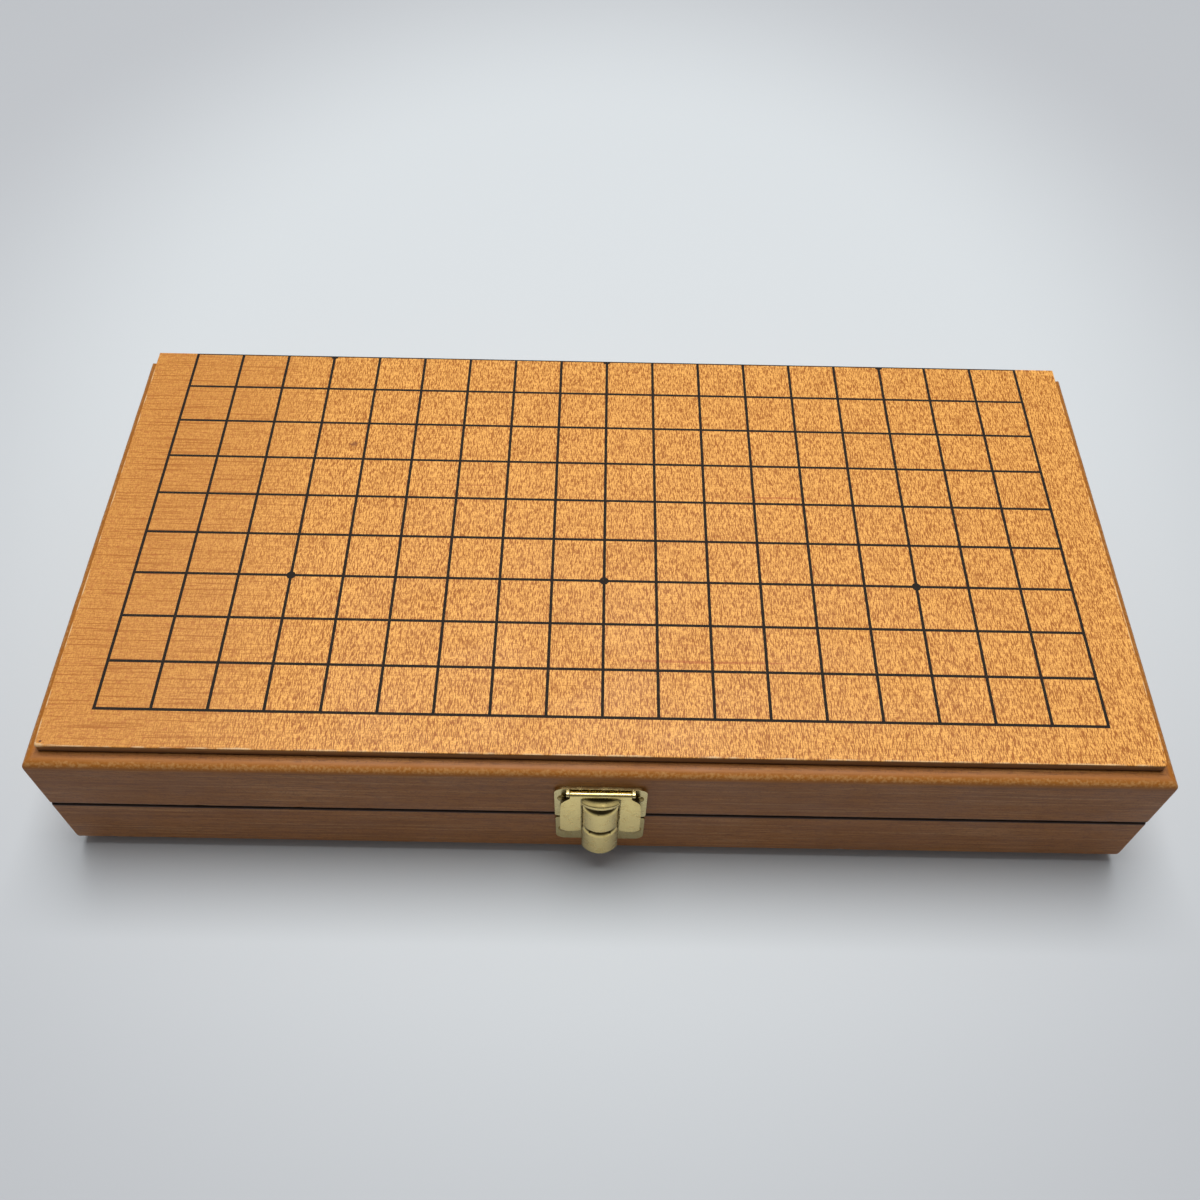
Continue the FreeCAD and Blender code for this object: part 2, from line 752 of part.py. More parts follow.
def latch_nails(half):
    """Two nails with low domed heads that hold a latch plate to a front rail."""
    height = {"upper": "Size.nail_high", "lower": "-Size.nail_low"}[half]
    z = f"Size.half_height + {height}"
    sheet = f"(-{CASE_DEEP} / 2 - Size.latch_sheet)"
    parts = []
    for sign in (-1, 1):
        x = f"{sign} * Size.nail_spread / 2"
        name = f"{half}_nail_{sign + 1}"
        head = cone(
            f"{name}_head",
            "Size.nail_head_radius",
            "Size.nail_head_radius / 2",
            "Size.nail_head_high",
            (0, -1, 0),
            x,
            sheet,
            z,
        )
        shank = cylinder(
            f"{name}_shank", "Size.nail_radius", "Size.nail_length", (0, 1, 0), x, sheet, z
        )
        parts += [head, shank]
    return piece(fuse(f"{half}_latch_nails", parts), f"{half}_latch_nails")


def latch_plate(nails):
    """The upper plate, with two lugs at its top that carry the hasp's pin."""
    body = new_body("latch_plate_blank")
    half_wide = "Size.latch_wide / 2"
    sketch = new_sketch(body, "XZ")
    rectangle(sketch, f"-{half_wide}", half_wide, RAIL_FOOT, "Size.latch_high")
    pad(body, sketch, "Size.latch_sheet")
    top = highest(body, "z")
    ease(
        body,
        "Size.latch_corner",
        lambda edge: runs_along(edge, "y") and lies_at(edge, "z", top),
    )
    lug_low = f"{PIN_HIGH} - Size.lug_round"
    lug_high = f"{PIN_HIGH} + Size.lug_round"
    for start in (LUG_INNER, f"-{LUG_OUTER}"):
        sketch = new_sketch(body, "YZ", offset=start)
        rectangle(sketch, f"-{PIN_OUT}", "-Size.latch_sheet / 2", lug_low, lug_high)
        pad(body, sketch, "Size.lug_thick")
        sketch = new_sketch(body, "YZ", offset=start)
        circle(sketch, f"-{PIN_OUT}", PIN_HIGH, "Size.lug_round")
        pad(body, sketch, "Size.lug_thick")
    sketch = new_sketch(body, "YZ")
    circle(sketch, f"-{PIN_OUT}", PIN_HIGH, "Size.pin_radius")
    pocket(body, sketch, f"2 * {LUG_OUTER}", both=True)
    stand_at_latch(body)
    return piece(cut("latch_plate", body, [nails]), "latch_plate")


def keeper_plate(nails):
    """The lower plate, with the lip that the hasp's catch snaps under."""
    body = new_body("keeper_plate_blank")
    half_wide = "Size.keeper_wide / 2"
    sketch = new_sketch(body, "XZ")
    rectangle(sketch, f"-{half_wide}", half_wide, "-Size.keeper_high", f"-{RAIL_FOOT}")
    pad(body, sketch, "Size.latch_sheet")
    foot = lowest(body, "z")
    ease(
        body,
        "Size.keeper_corner",
        lambda edge: runs_along(edge, "y") and lies_at(edge, "z", foot),
    )
    sketch = new_sketch(body, "XZ")
    lip = "Size.lip_wide / 2"
    rectangle(sketch, f"-{lip}", lip, "-Size.lip_low", "-Size.lip_low + Size.lip_thick")
    pad(body, sketch, "Size.latch_sheet + Size.lip_reach")
    stand_at_latch(body)
    return piece(cut("keeper_plate", body, [nails]), "keeper_plate")


def tongue_strip(body):
    """The hasp's tongue: a strip bowed in plan, with two grooves pressed across it."""
    bow = "Size.tongue_bow"
    groove = "Size.groove_depth"
    wall = "Size.tongue_wall"
    crown = "Size.tongue_crown"
    ramp = "Size.groove_wide / 4"
    outline = [
        (f"{bow} - Size.tongue_curl", crown),
        (f"{bow} - {groove}", f"{crown} - {wall} / 2"),
        (bow, f"{crown} - 2 * {wall}"),
        (bow, "Size.groove_high"),
    ]
    for groove_top in ("Size.groove_high", "-Size.groove_low"):
        outline += [
            (f"{bow} - {groove}", f"{groove_top} - {ramp}"),
            (f"{bow} - {groove}", f"{groove_top} - Size.groove_wide + {ramp}"),
            (bow, f"{groove_top} - Size.groove_wide"),
        ]
        if groove_top == "Size.groove_high":
            outline.append((bow, "-Size.groove_low"))
    outline.append((bow, "-Size.tongue_low"))
    inner = [(f"{radius} - {wall}", height) for radius, height in reversed(outline)]
    # under the crown the sheet is measured downwards
    inner[-1] = (outline[0][0], f"{crown} - {wall}")
    inner[-2] = (f"{bow} - {groove} - {wall} / 2", f"{crown} - 3 * {wall} / 2")
    sketch = new_sketch(body, "YZ", shift=TONGUE_AXIS)
    polygon(sketch, [(f"-({radius})", height) for radius, height in outline + inner])
    strip = body.newObject("PartDesign::Revolution", "tongue_strip")
    strip.Profile = sketch
    strip.ReferenceAxis = (sketch, ["V_Axis"])
    strip.Angle = 180
    strip.Midplane = True
    doc.recompute()
    # trim the strip to its width and to its back plane
    sketch = new_sketch(body)
    half_wide = "Size.tongue_wide / 2"
    far = f"3 * {bow}"
    rectangle(sketch, f"-{far}", far, f"-{far}", far)
    rectangle(sketch, f"-{half_wide}", half_wide, f"-2 * {bow}", "-Size.tongue_back")
    pocket(body, sketch, both=True)


def latch_hasp():
    """The sprung hasp, curled round its pin: two ears, and between them the bowed tongue."""
    body = new_body("latch_hasp_body")
    tongue_strip(body)
    # cheeks along both sides of the tongue
    sketch = new_sketch(body, "YZ")
    cheek_top = "Size.tongue_crown - 2 * Size.tongue_wall"
    rectangle(sketch, f"-{CHEEK_FRONT}", "-Size.tongue_back", "-Size.tongue_low", cheek_top)
    pad(body, sketch, "Size.tongue_wide", both=True)
    channel = "(Size.tongue_wide / 2 - Size.cheek_thick)"
    sketch = new_sketch(body, "XZ", offset=CHEEK_FRONT)
    rectangle(sketch, f"-{channel}", channel, "-2 * Size.tongue_low", "2 * Size.tongue_crown")
    pocket(body, sketch, CHEEK_FRONT)
    # the sheet: crown, shoulders that clear the lugs, ears, and the slot round the tongue
    shoulder = f"{PIN_HIGH} - Size.lug_round - 2 * Size.lug_gap"
    right = [
        ("Size.hasp_crown / 2", PIN_HIGH),
        ("Size.hasp_crown / 2", shoulder),
        ("Size.hasp_waist / 2", "Size.hasp_waist_high"),
        ("Size.hasp_spread / 2", "Size.hasp_shoulder_high"),
        ("Size.hasp_spread / 2", "-Size.ear_drop"),
        ("Size.slot_wide / 2", "-Size.ear_drop"),
        ("Size.slot_wide / 2", "Size.slot_high"),
    ]
    left = [(f"-{x}", z) for x, z in reversed(right)]
    sketch = new_sketch(body, "XZ", offset=HASP_BACK)
    polygon(sketch, right + left)
    pad(body, sketch, "Size.hasp_sheet")
    foot = -sheet_value("ear_drop")
    ease(body, "Size.ear_corner", lambda edge: runs_along(edge, "y") and lies_at(edge, "z", foot))
    # the curl round the pin; in the middle it is hollow for the spring, and open at the back
    sketch = new_sketch(body, "YZ")
    circle(sketch, f"-{PIN_OUT}", PIN_HIGH, CURL_RADIUS)
    pad(body, sketch, "Size.hasp_crown", both=True)
    sketch = new_sketch(body, "YZ")
    circle(sketch, f"-{PIN_OUT}", PIN_HIGH, "Size.pin_radius + Size.pin_fit")
    pocket(body, sketch, both=True)
    sketch = new_sketch(body, "YZ")
    hollow = f"{SPRING_RADIUS} + Size.spring_wire + Size.spring_gap"
    circle(sketch, f"-{PIN_OUT}", PIN_HIGH, hollow)
    pocket(body, sketch, "2 * Size.spring_room", both=True)
    sketch = new_sketch(body, "XZ", offset=PIN_OUT)
    room_foot = f"{PIN_HIGH} - {CURL_RADIUS}"
    rectangle(sketch, "-Size.spring_room", "Size.spring_room", room_foot, "2 * Size.latch_high")
    pocket(body, sketch, PIN_OUT)
    # the catch inside the tongue, just below and clear of the keeper's lip
    sketch = new_sketch(body, "YZ")
    reach = "-Size.latch_sheet - Size.lip_reach - Size.catch_gap"
    top = "-Size.lip_low - Size.catch_drop"
    front = "-Size.tongue_front + Size.groove_depth + Size.tongue_wall / 2"
    rectangle(sketch, front, reach, f"{top} - Size.lip_thick", top)
    pad(body, sketch, "Size.catch_wide", both=True)
    return piece(stand_at_latch(body), "latch_hasp")


def latch_pin():
    pin = cylinder(
        "latch_pin_bar",
        "Size.pin_radius",
        f"2 * {LUG_OUTER}",
        (1, 0, 0),
        f"-{LUG_OUTER}",
        f"-{CASE_DEEP} / 2 - {PIN_OUT}",
        f"Size.half_height + {PIN_HIGH}",
    )
    return piece(pin, "latch_pin")


def latch_spring():
    """The torsion spring: turns side by side round the pin, and a leg along the latch plate."""
    wire = "Size.spring_wire"
    y = f"(-{CASE_DEEP} / 2 - {PIN_OUT})"
    z = f"(Size.half_height + {PIN_HIGH})"
    # turns overlap a little, so that the coil holds together
    places = [f"{turn - (SPRING_TURNS - 1) / 2} * Size.spring_pitch" for turn in range(SPRING_TURNS)]
    parts = []
    for turn, x in enumerate(places):
        ring = doc.addObject("Part::Torus", f"spring_turn_{turn}")
        across = FreeCAD.Rotation(FreeCAD.Vector(0, 0, 1), FreeCAD.Vector(1, 0, 0))
        ring.Placement = FreeCAD.Placement(FreeCAD.Vector(0, 0, 0), across)
        bind(ring, Radius1=SPRING_RADIUS, Radius2=wire)
        parts.append(stand_at(ring, x, y, z))
    back = f"{y} + {SPRING_RADIUS}"
    leg = cylinder("spring_leg", wire, "Size.spring_leg", (0, 0, -1), places[-1], back, z)
    parts.append(leg)
    return piece(fuse("latch_spring_coil", parts), "latch_spring")


# ---- assembly ---------------------------------------------------------------------------------


def make_half(half):
    nails = latch_nails(half)
    screws = hinge_screws(half)
    front_rail(half, nails)
    rear_rail(half, screws)
    closed_rail(half)
    window_rail(half)
    inner_boards(half)
    drawer_front(half)
    drawer_box(half)
    own_knuckles = {"upper": UPPER_KNUCKLES, "lower": LOWER_KNUCKLES}[half]
    for side in HINGE_SIDES:
        hinge_leaf(half, side, own_knuckles, screws)
    return nails


def check_document():
    """Stop on any object that failed to compute and on any sub-part that isn't a sound solid."""
    doc.recompute()
    faults = [
        thing.Label
        for thing in doc.Objects
        if "Invalid" in thing.State or "Error" in thing.State
    ]
    for thing in pieces:
        if thing.Shape.isNull() or not thing.Shape.isValid() or not thing.Shape.Solids:
            faults.append(thing.Label)
    if faults:
        raise RuntimeError("failed: " + ", ".join(faults))


def write_steps():
    os.makedirs("parts", exist_ok=True)
    for thing in pieces:
        thing.Shape.exportStep(os.path.join("parts", f"{thing.Label}.step"))
        solids = len(thing.Shape.Solids)
        print(f"{thing.Label}: {solids} solid(s), {thing.Shape.Volume:.2f} mm3")


fill_sheet()
upper_nails = make_half("upper")
lower_nails = make_half("lower")
for hinge_side in HINGE_SIDES:
    hinge_pin(hinge_side)
latch_plate(upper_nails)
keeper_plate(lower_nails)
latch_hasp()
latch_pin()
latch_spring()
upper_grid = grid_lines()
upper_plate = board_plate(upper_grid)
twin(upper_grid, "lower_grid_lines")
twin(upper_plate, "lower_board_plate")
check_document()
write_steps()
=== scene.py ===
"""A folding go board with stone drawers: veneered plates on mitred rails, hinged, with a brass latch.

Frame of the closed case: +Z up, front (latch) towards -Y, origin at the centre of the underside.
Sizes in this file are in millimetres; meshes are made in metres.
"""

import logging
import math
from collections.abc import Callable, Iterable, Sequence
from dataclasses import dataclass
from enum import Enum
from functools import cache, cached_property
from typing import Any

import bmesh
import bpy
from mathutils import Matrix, Vector, noise


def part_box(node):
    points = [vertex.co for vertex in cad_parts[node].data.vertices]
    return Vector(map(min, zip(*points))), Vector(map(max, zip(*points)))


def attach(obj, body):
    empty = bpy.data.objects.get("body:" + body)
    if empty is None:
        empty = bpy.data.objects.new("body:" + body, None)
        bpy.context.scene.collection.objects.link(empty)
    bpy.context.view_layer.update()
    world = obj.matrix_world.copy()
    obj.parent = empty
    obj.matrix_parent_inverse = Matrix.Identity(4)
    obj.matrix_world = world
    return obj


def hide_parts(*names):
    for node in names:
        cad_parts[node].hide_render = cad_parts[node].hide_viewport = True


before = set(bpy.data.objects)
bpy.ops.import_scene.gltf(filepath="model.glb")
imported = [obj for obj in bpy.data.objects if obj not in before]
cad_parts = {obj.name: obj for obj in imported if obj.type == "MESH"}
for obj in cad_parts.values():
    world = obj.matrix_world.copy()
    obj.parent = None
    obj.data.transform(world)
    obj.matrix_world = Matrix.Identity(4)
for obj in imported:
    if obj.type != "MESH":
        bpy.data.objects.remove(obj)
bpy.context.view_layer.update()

MM = 0.001
# steps in a quarter turn of a board's rounded edge, and of an outline's rounded corner
EASE_STEPS = 3
CORNER_STEPS = 6
# a rounding never shrinks below this, so that no two corners fall together
LEAST_ROUND = 0.03
# faces that meet at more than this shade as an edge
SHARP_DEGREES = 40.0
ALONG_CASE = Vector((1, 0, 0))
log = logging.getLogger("go_board")

# a corner with its wear and painted light, a ring of corners, a change of frame, and three lengths
# along x, y and z
Corner = tuple[Vector, float]
Ring = list[Corner]
Place = Callable[[Vector], Vector]
Size = tuple[float, float, float]
Socket = bpy.types.NodeSocket


# ---- colour and nodes ------------------------------------------------------------------------

RGBA = {"data_type": "RGBA"}
SMOOTH = {"interpolation_type": "SMOOTHSTEP"}
LESS = {"operation": "SUBTRACT"}
TIMES = {"operation": "MULTIPLY"}
TIMES_PLUS = {"operation": "MULTIPLY_ADD"}
# sockets of a colour Mix node
FACTOR, FIRST, SECOND, MIXED = 0, 6, 7, 2


def linear(colour: str) -> tuple[float, float, float, float]:
    """Turn an sRGB colour into the linear light that the shaders take.

    Args:
        colour: the colour as six hex digits after a #.

    Returns:
        Red, green, blue and an alpha of 1.
    """
    parts = [int(colour[i : i + 2], 16) / 255 for i in (1, 3, 5)]
    light = [c / 12.92 if c <= 0.04045 else ((c + 0.055) / 1.055) ** 2.4 for c in parts]
    return (light[0], light[1], light[2], 1.0)


class Surface:
    """A material under way: its nodes, and what its patterns follow."""

    def __init__(self, material: bpy.types.Material) -> None:
        """Start with the shader alone.

        Args:
            material: the new material.
        """
        material.use_nodes = True
        self.tree = material.node_tree
        self.shader = self.tree.nodes["Principled BSDF"]

    def feed(self, node: bpy.types.Node, inputs: dict[int | str, Any]) -> None:
        """Set a node's inputs.

        Args:
            node: the node.
            inputs: its inputs by name or number: a value, a socket, or a node for its first output.
        """
        for key, value in inputs.items():
            if isinstance(value, bpy.types.Node):
                value = value.outputs[0]
            if isinstance(value, bpy.types.NodeSocket):
                self.tree.links.new(value, node.inputs[key])
            else:
                node.inputs[key].default_value = value

    def add(
        self, kind: str, settings: dict[str, Any], inputs: dict[int | str, Any]
    ) -> bpy.types.Node:
        """Add one shader node.

        Args:
            kind: the node's type, without "ShaderNode".
            settings: its properties.
            inputs: its inputs, as feed takes them.

        Returns:
            The node.
        """
        made = self.tree.nodes.new(f"ShaderNode{kind}")
        for name, value in settings.items():
            setattr(made, name, value)
        self.feed(made, inputs)
        return made

    @cached_property
    def coords(self) -> Socket:
        """The coordinates that patterns are placed by, in metres."""
        return self.add("TexCoord", {}, {}).outputs["Object"]

    @cached_property
    def wear_and_painted_light(self) -> Socket:
        """The wear and painted light noted at the corners: over 0 where rubbed, which on the rails'
        rounds is also a painted highlight; under 0 where shade is painted.
        """
        return self.add("Attribute", {"attribute_name": "wear_and_painted_light"}, {}).outputs["Fac"]

    def blotches(
        self, size: Size, detail: float = 2.0, shift: float = 0.0, coords: Socket | None = None
    ) -> Socket:
        """Soft random blotches, which grain, figure and wear are made of.

        Args:
            size: how long a blotch is along x, y and z, in millimetres.
            detail: how many finer octaves lie in it.
            shift: moves the pattern, so that two pieces differ, in blotches.
            coords: coordinates to follow, where they aren't the plain ones.

        Returns:
            The socket of the pattern, from 0 to 1 around 0.5.
        """
        followed = self.coords if coords is None else coords
        scale = tuple(1 / (s * MM) for s in size)
        spread = {"Vector": followed, "Location": (shift,) * 3, "Scale": scale}
        place = self.add("Mapping", {}, spread)
        made = self.add("TexNoise", {}, {"Vector": place, "Scale": 1.0, "Detail": detail})
        return made.outputs["Fac"]

    def laid(
        self,
        under: Any,
        colour: str,
        pattern: Any,
        levels: tuple[float, float],
        strength: float = 1.0,
        share: Any = None,
    ) -> Socket:
        """Lay a colour over another wherever a pattern is strong.

        Args:
            under: the colour under it.
            colour: the colour laid on.
            pattern: the pattern, or the wear and painted light.
            levels: the pattern's level where the colour begins, and where it is full. The second
                is the lower one for a colour that shows where the pattern is weak.
            strength: how much of the colour shows where it is full.
            share: what thins the colour from place to place, if anything does.

        Returns:
            The socket of the new colour.
        """
        begins, full = levels
        mask = self.add("MapRange", SMOOTH, {0: pattern, 1: begins, 2: full, 4: strength})
        if share is not None:
            mask = self.add("Math", TIMES, {0: mask, 1: share})
        made = self.add("Mix", RGBA, {FACTOR: mask, FIRST: under, SECOND: linear(colour)})
        return made.outputs[MIXED]

    def layered(self, base: str, *layers: "Layer") -> Socket:
        """Lay several layers over a base colour.

        Args:
            base: the base colour.
            layers: the layers, the lowest first.

        Returns:
            The socket of the top colour.
        """
        colour: Any = linear(base)
        for layer in layers:
            colour = layer.over(self, colour)
        return colour


@dataclass(frozen=True)
class Layer:
    """A random pattern in one colour.

    Its size is that of a blotch, in millimetres, and its levels are what Surface.laid takes.
    """

    colour: str
    size: Size
    levels: tuple[float, float]
    strength: float
    detail: float = 2.0
    shift: float = 0.0

    def over(
        self, surface: Surface, under: Any, coords: Socket | None = None, share: Any = None
    ) -> Socket:
        """Lay the pattern over a colour.

        Args:
            surface: the material under way.
            under: the colour under it.
            coords: coordinates to follow, where they aren't the plain ones.
            share: what thins the pattern from place to place, if anything does.

        Returns:
            The socket of the new colour.
        """
        pattern = surface.blotches(self.size, self.detail, self.shift, coords)
        return surface.laid(under, self.colour, pattern, self.levels, self.strength, share)


# ---- finishes --------------------------------------------------------------------------------


class Grain(Enum):
    """Which way a board's grain runs."""

    ALONG_X = (1, 0, 0)
    ALONG_Y = (0, 1, 0)

    def blotch(self, length: float, width: float) -> Size:
        """The size of a blotch that is long along the grain and narrow across it."""
        x, y, z = (length if along else width for along in self.value)
        return (x, y, z)


@dataclass(frozen=True)
class Finish:
    """What every finish has: a name, and a material that is made on first use."""

    name: str

    def material(self) -> bpy.types.Material:
        """The finish as a material.

        Returns:
            The material of its name.
        """
        found = bpy.data.materials.get(self.name)
        if found:
            return found
        made = bpy.data.materials.new(self.name)
        self.paint(Surface(made))
        return made

    def paint(self, surface: Surface) -> None:
        """Build the finish's nodes."""
        raise NotImplementedError


@dataclass(frozen=True)
class Mark:
    """A small natural mark in the veneer: a pin knot, a mineral streak or a speck.

    Its place and its reach are in millimetres, along x and y of the plate.
    """

    place: tuple[float, float]
    reach: tuple[float, float]
    colour: str
    strength: float

    def over(self, surface: Surface, under: Socket) -> Socket:
        """Lay the mark over a colour, with a ragged outline.

        Args:
            surface: the material under way.
            under: the colour under the mark.

        Returns:
            The socket of the marked colour.
        """
        place = (self.place[0] * MM, self.place[1] * MM, 0.0)
        away = surface.add("VectorMath", LESS, {0: surface.coords, 1: place})
        grow = (1 / (self.reach[0] * MM), 1 / (self.reach[1] * MM), 0.0)
        grown = surface.add("VectorMath", TIMES, {0: away, 1: grow})
        length = surface.add("VectorMath", {"operation": "LENGTH"}, {0: grown}).outputs["Value"]
        size = (max(self.reach[0] / 5, 0.5), max(self.reach[1] / 2, 0.3), 1.0)
        ragged = surface.blotches(size, 2.0, self.place[0])
        edge = surface.add("Math", TIMES_PLUS, {0: ragged, 1: 1.6, 2: length})
        return surface.laid(under, self.colour, edge, (1.9, 1.2), self.strength)


def varnish(surface: Surface, colour: Socket, grain: Size) -> None:
    """Satin varnish over a wood colour: uneven gloss, and the grain telegraphing through it.

    Args:
        surface: the material under way.
        colour: the wood's colour.
        grain: how long the grain that telegraphs is along x, y and z, in millimetres.
    """
    gloss = surface.blotches((18, 12, 12), 3.0, 5)
    rough = surface.add("MapRange", {}, {0: gloss, 1: 0.3, 2: 0.7, 3: 0.46, 4: 0.58})
    relief = surface.blotches(grain, 3.0, 9)
    bump = surface.add("Bump", {}, {"Height": relief, "Distance": 0.02 * MM, "Strength": 0.6})
    shown = {"Base Color": colour, "Roughness": rough, "Normal": bump, "Specular IOR Level": 0.34}
    surface.feed(surface.shader, shown)


@dataclass(frozen=True)
class KatsuraVeneer(Finish):
    """Sliced katsura veneer under satin varnish.

    The slice shows dense wavy flecks that run front to back, over faint straight grain that runs
    along the board. Towards the left the flecks give way to the straight grain. Real flecks and
    pores are about a tenth of a millimetre wide, which is too fine to show, so they are drawn at
    two to three tenths.
    """

    light: str = "#FBB75C"
    dark: str = "#A45E12"
    streak: str = "#B2662A"
    pore: str = "#6E3D1B"
    worn: str = "#EBCB9C"
    fleck_wide: float = 0.2
    fleck_long: float = 1.5
    wave_long: float = 1.1
    wave_reach: float = 0.24
    fleck_show: float = 0.72
    patch_show: float = 0.14
    plain_show: float = 0.24
    plain_side: float = -128.0
    plain_reach: float = 60.0
    plain_level: float = 0.42
    flecked_level: float = 0.5
    lines_thinned: float = 0.65
    shift: float = 0.0
    marks: tuple[Mark, ...] = ()

    def flecked(self, surface: Surface, wavy: Socket, figured: bpy.types.Node) -> Socket:
        """The ground colour with its flecks.

        Args:
            surface: the material under way.
            wavy: the coordinates, disturbed a little.
            figured: how much of the flecks shows, from 0 to 1.

        Returns:
            The socket of the colour.
        """
        size = (self.fleck_wide, self.fleck_long, self.fleck_long)
        flecks = surface.blotches(size, 1.0, self.shift, wavy)
        flecks = surface.add("MapRange", SMOOTH, {0: flecks, 1: 0.4, 2: 0.56})
        patches = surface.blotches((24, 14, 14), 1.0, self.shift + 3)
        patches = surface.add("MapRange", SMOOTH, {0: patches, 1: 0.3, 2: 0.6})
        # flecks stand out most in the patches, and least where the veneer is plain
        shown = {0: patches, 1: self.patch_show, 2: self.fleck_show}
        shown = {0: surface.add("Math", TIMES_PLUS, shown), 1: figured, 2: self.plain_show}
        strength = surface.add("Math", TIMES_PLUS, shown)
        levels = {0: figured, 3: self.plain_level, 4: self.flecked_level}
        level = surface.add("MapRange", {}, levels)
        ends = {FIRST: linear(self.dark), SECOND: linear(self.light)}
        plain = surface.add("Mix", RGBA, {FACTOR: level, **ends}).outputs[MIXED]
        mottled = surface.add("Mix", RGBA, {FACTOR: flecks, **ends}).outputs[MIXED]
        both = {FACTOR: strength, FIRST: plain, SECOND: mottled}
        return surface.add("Mix", RGBA, both).outputs[MIXED]

    def colour(self, surface: Surface) -> Socket:
        """The veneer's colour before any wear.

        Args:
            surface: the material under way.

        Returns:
            The socket of the colour.
        """
        coords, shift = surface.coords, self.shift
        swirl = surface.add("TexNoise", {}, {"Vector": coords, "Scale": 1 / (self.wave_long * MM)})
        centred = surface.add("VectorMath", LESS, {0: swirl.outputs["Color"], 1: (0.5,) * 3})
        push = {0: centred, "Scale": self.wave_reach * MM}
        aside = surface.add("VectorMath", {"operation": "SCALE"}, push)
        wavy = surface.add("VectorMath", {}, {0: coords, 1: aside}).outputs[0]
        across = surface.add("SeparateXYZ", {}, {0: coords})
        begins, full = self.plain_side * MM, (self.plain_side + self.plain_reach) * MM
        figured = surface.add("MapRange", SMOOTH, {0: across, 1: begins, 2: full})
        plain = surface.add("Math", TIMES_PLUS, {0: figured, 1: -self.lines_thinned, 2: 1.0})
        colour = self.flecked(surface, wavy, figured)
        specks = Layer(self.dark, (0.5, 0.42, 0.42), (0.5, 0.66), 0.5, detail=1.0, shift=shift + 5)
        colour = specks.over(surface, colour)
        straight = Layer(self.dark, (24, 0.6, 4), (0.5, 0.66), 0.75, detail=3.0, shift=shift + 7)
        colour = straight.over(surface, colour, wavy, plain)
        dashes = Layer(self.streak, (2.2, 0.36, 2), (0.52, 0.66), 0.6, detail=1.0, shift=shift + 21)
        colour = dashes.over(surface, colour, coords, plain)
        streaks = Layer(self.streak, (60, 1.3, 9), (0.66, 0.78), 0.5, detail=2.0, shift=shift + 11)
        colour = streaks.over(surface, colour)
        pores = Layer(self.pore, (3.0, 0.26, 2), (0.74, 0.82), 0.4, detail=1.0, shift=shift + 17)
        colour = pores.over(surface, colour)
        for mark in self.marks:
            colour = mark.over(surface, colour)
        return colour

    def paint(self, surface: Surface) -> None:
        """Figured colour, pale where rubbed, under varnish.

        Args:
            surface: the material under way.
        """
        patchy = surface.blotches((5, 5, 5), 4.0)
        rubbed = surface.add("Math", TIMES, {0: surface.wear_and_painted_light, 1: patchy})
        colour = surface.laid(self.colour(surface), self.worn, rubbed, (0.4, 0.6), 0.6)
        varnish(surface, colour, (0.7, 2.5, 2.5))


KNOT, MINERAL, SPECK = "#7A3C12", "#A9501F", "#3A1C0A"
UPPER_MARKS = (
    Mark((-77.6, 35.9), (1.5, 1.2), KNOT, 0.8),
    Mark((26.4, -41.2), (33.0, 0.5), MINERAL, 0.6),
    Mark((50.0, 17.4), (14.0, 0.5), MINERAL, 0.55),
    Mark((-144.4, -68.9), (0.5, 0.4), SPECK, 0.9),
    Mark((145.1, -69.0), (0.4, 0.4), SPECK, 0.7),
    Mark((-78.9, -70.5), (0.5, 0.5), SPECK, 0.8),
    Mark((74.9, -70.2), (0.5, 0.4), SPECK, 0.8),
)


@dataclass(frozen=True)
class PrintedInk(Finish):
    """Screen-printed brown-black ink: matt, a little uneven where the veneer's grain drinks it."""

    ink: str = "#261F19"
    thin: str = "#52402E"

    def paint(self, surface: Surface) -> None:
        """Dense ink with thin places.

        Args:
            surface: the material under way.
        """
        gaps = Layer(self.thin, (0.5, 1.2, 1), (0.56, 0.76), 0.7)
        colour = surface.layered(self.ink, gaps)
        shown = {"Base Color": colour, "Roughness": 0.8, "Specular IOR Level": 0.2}
        surface.feed(surface.shader, shown)


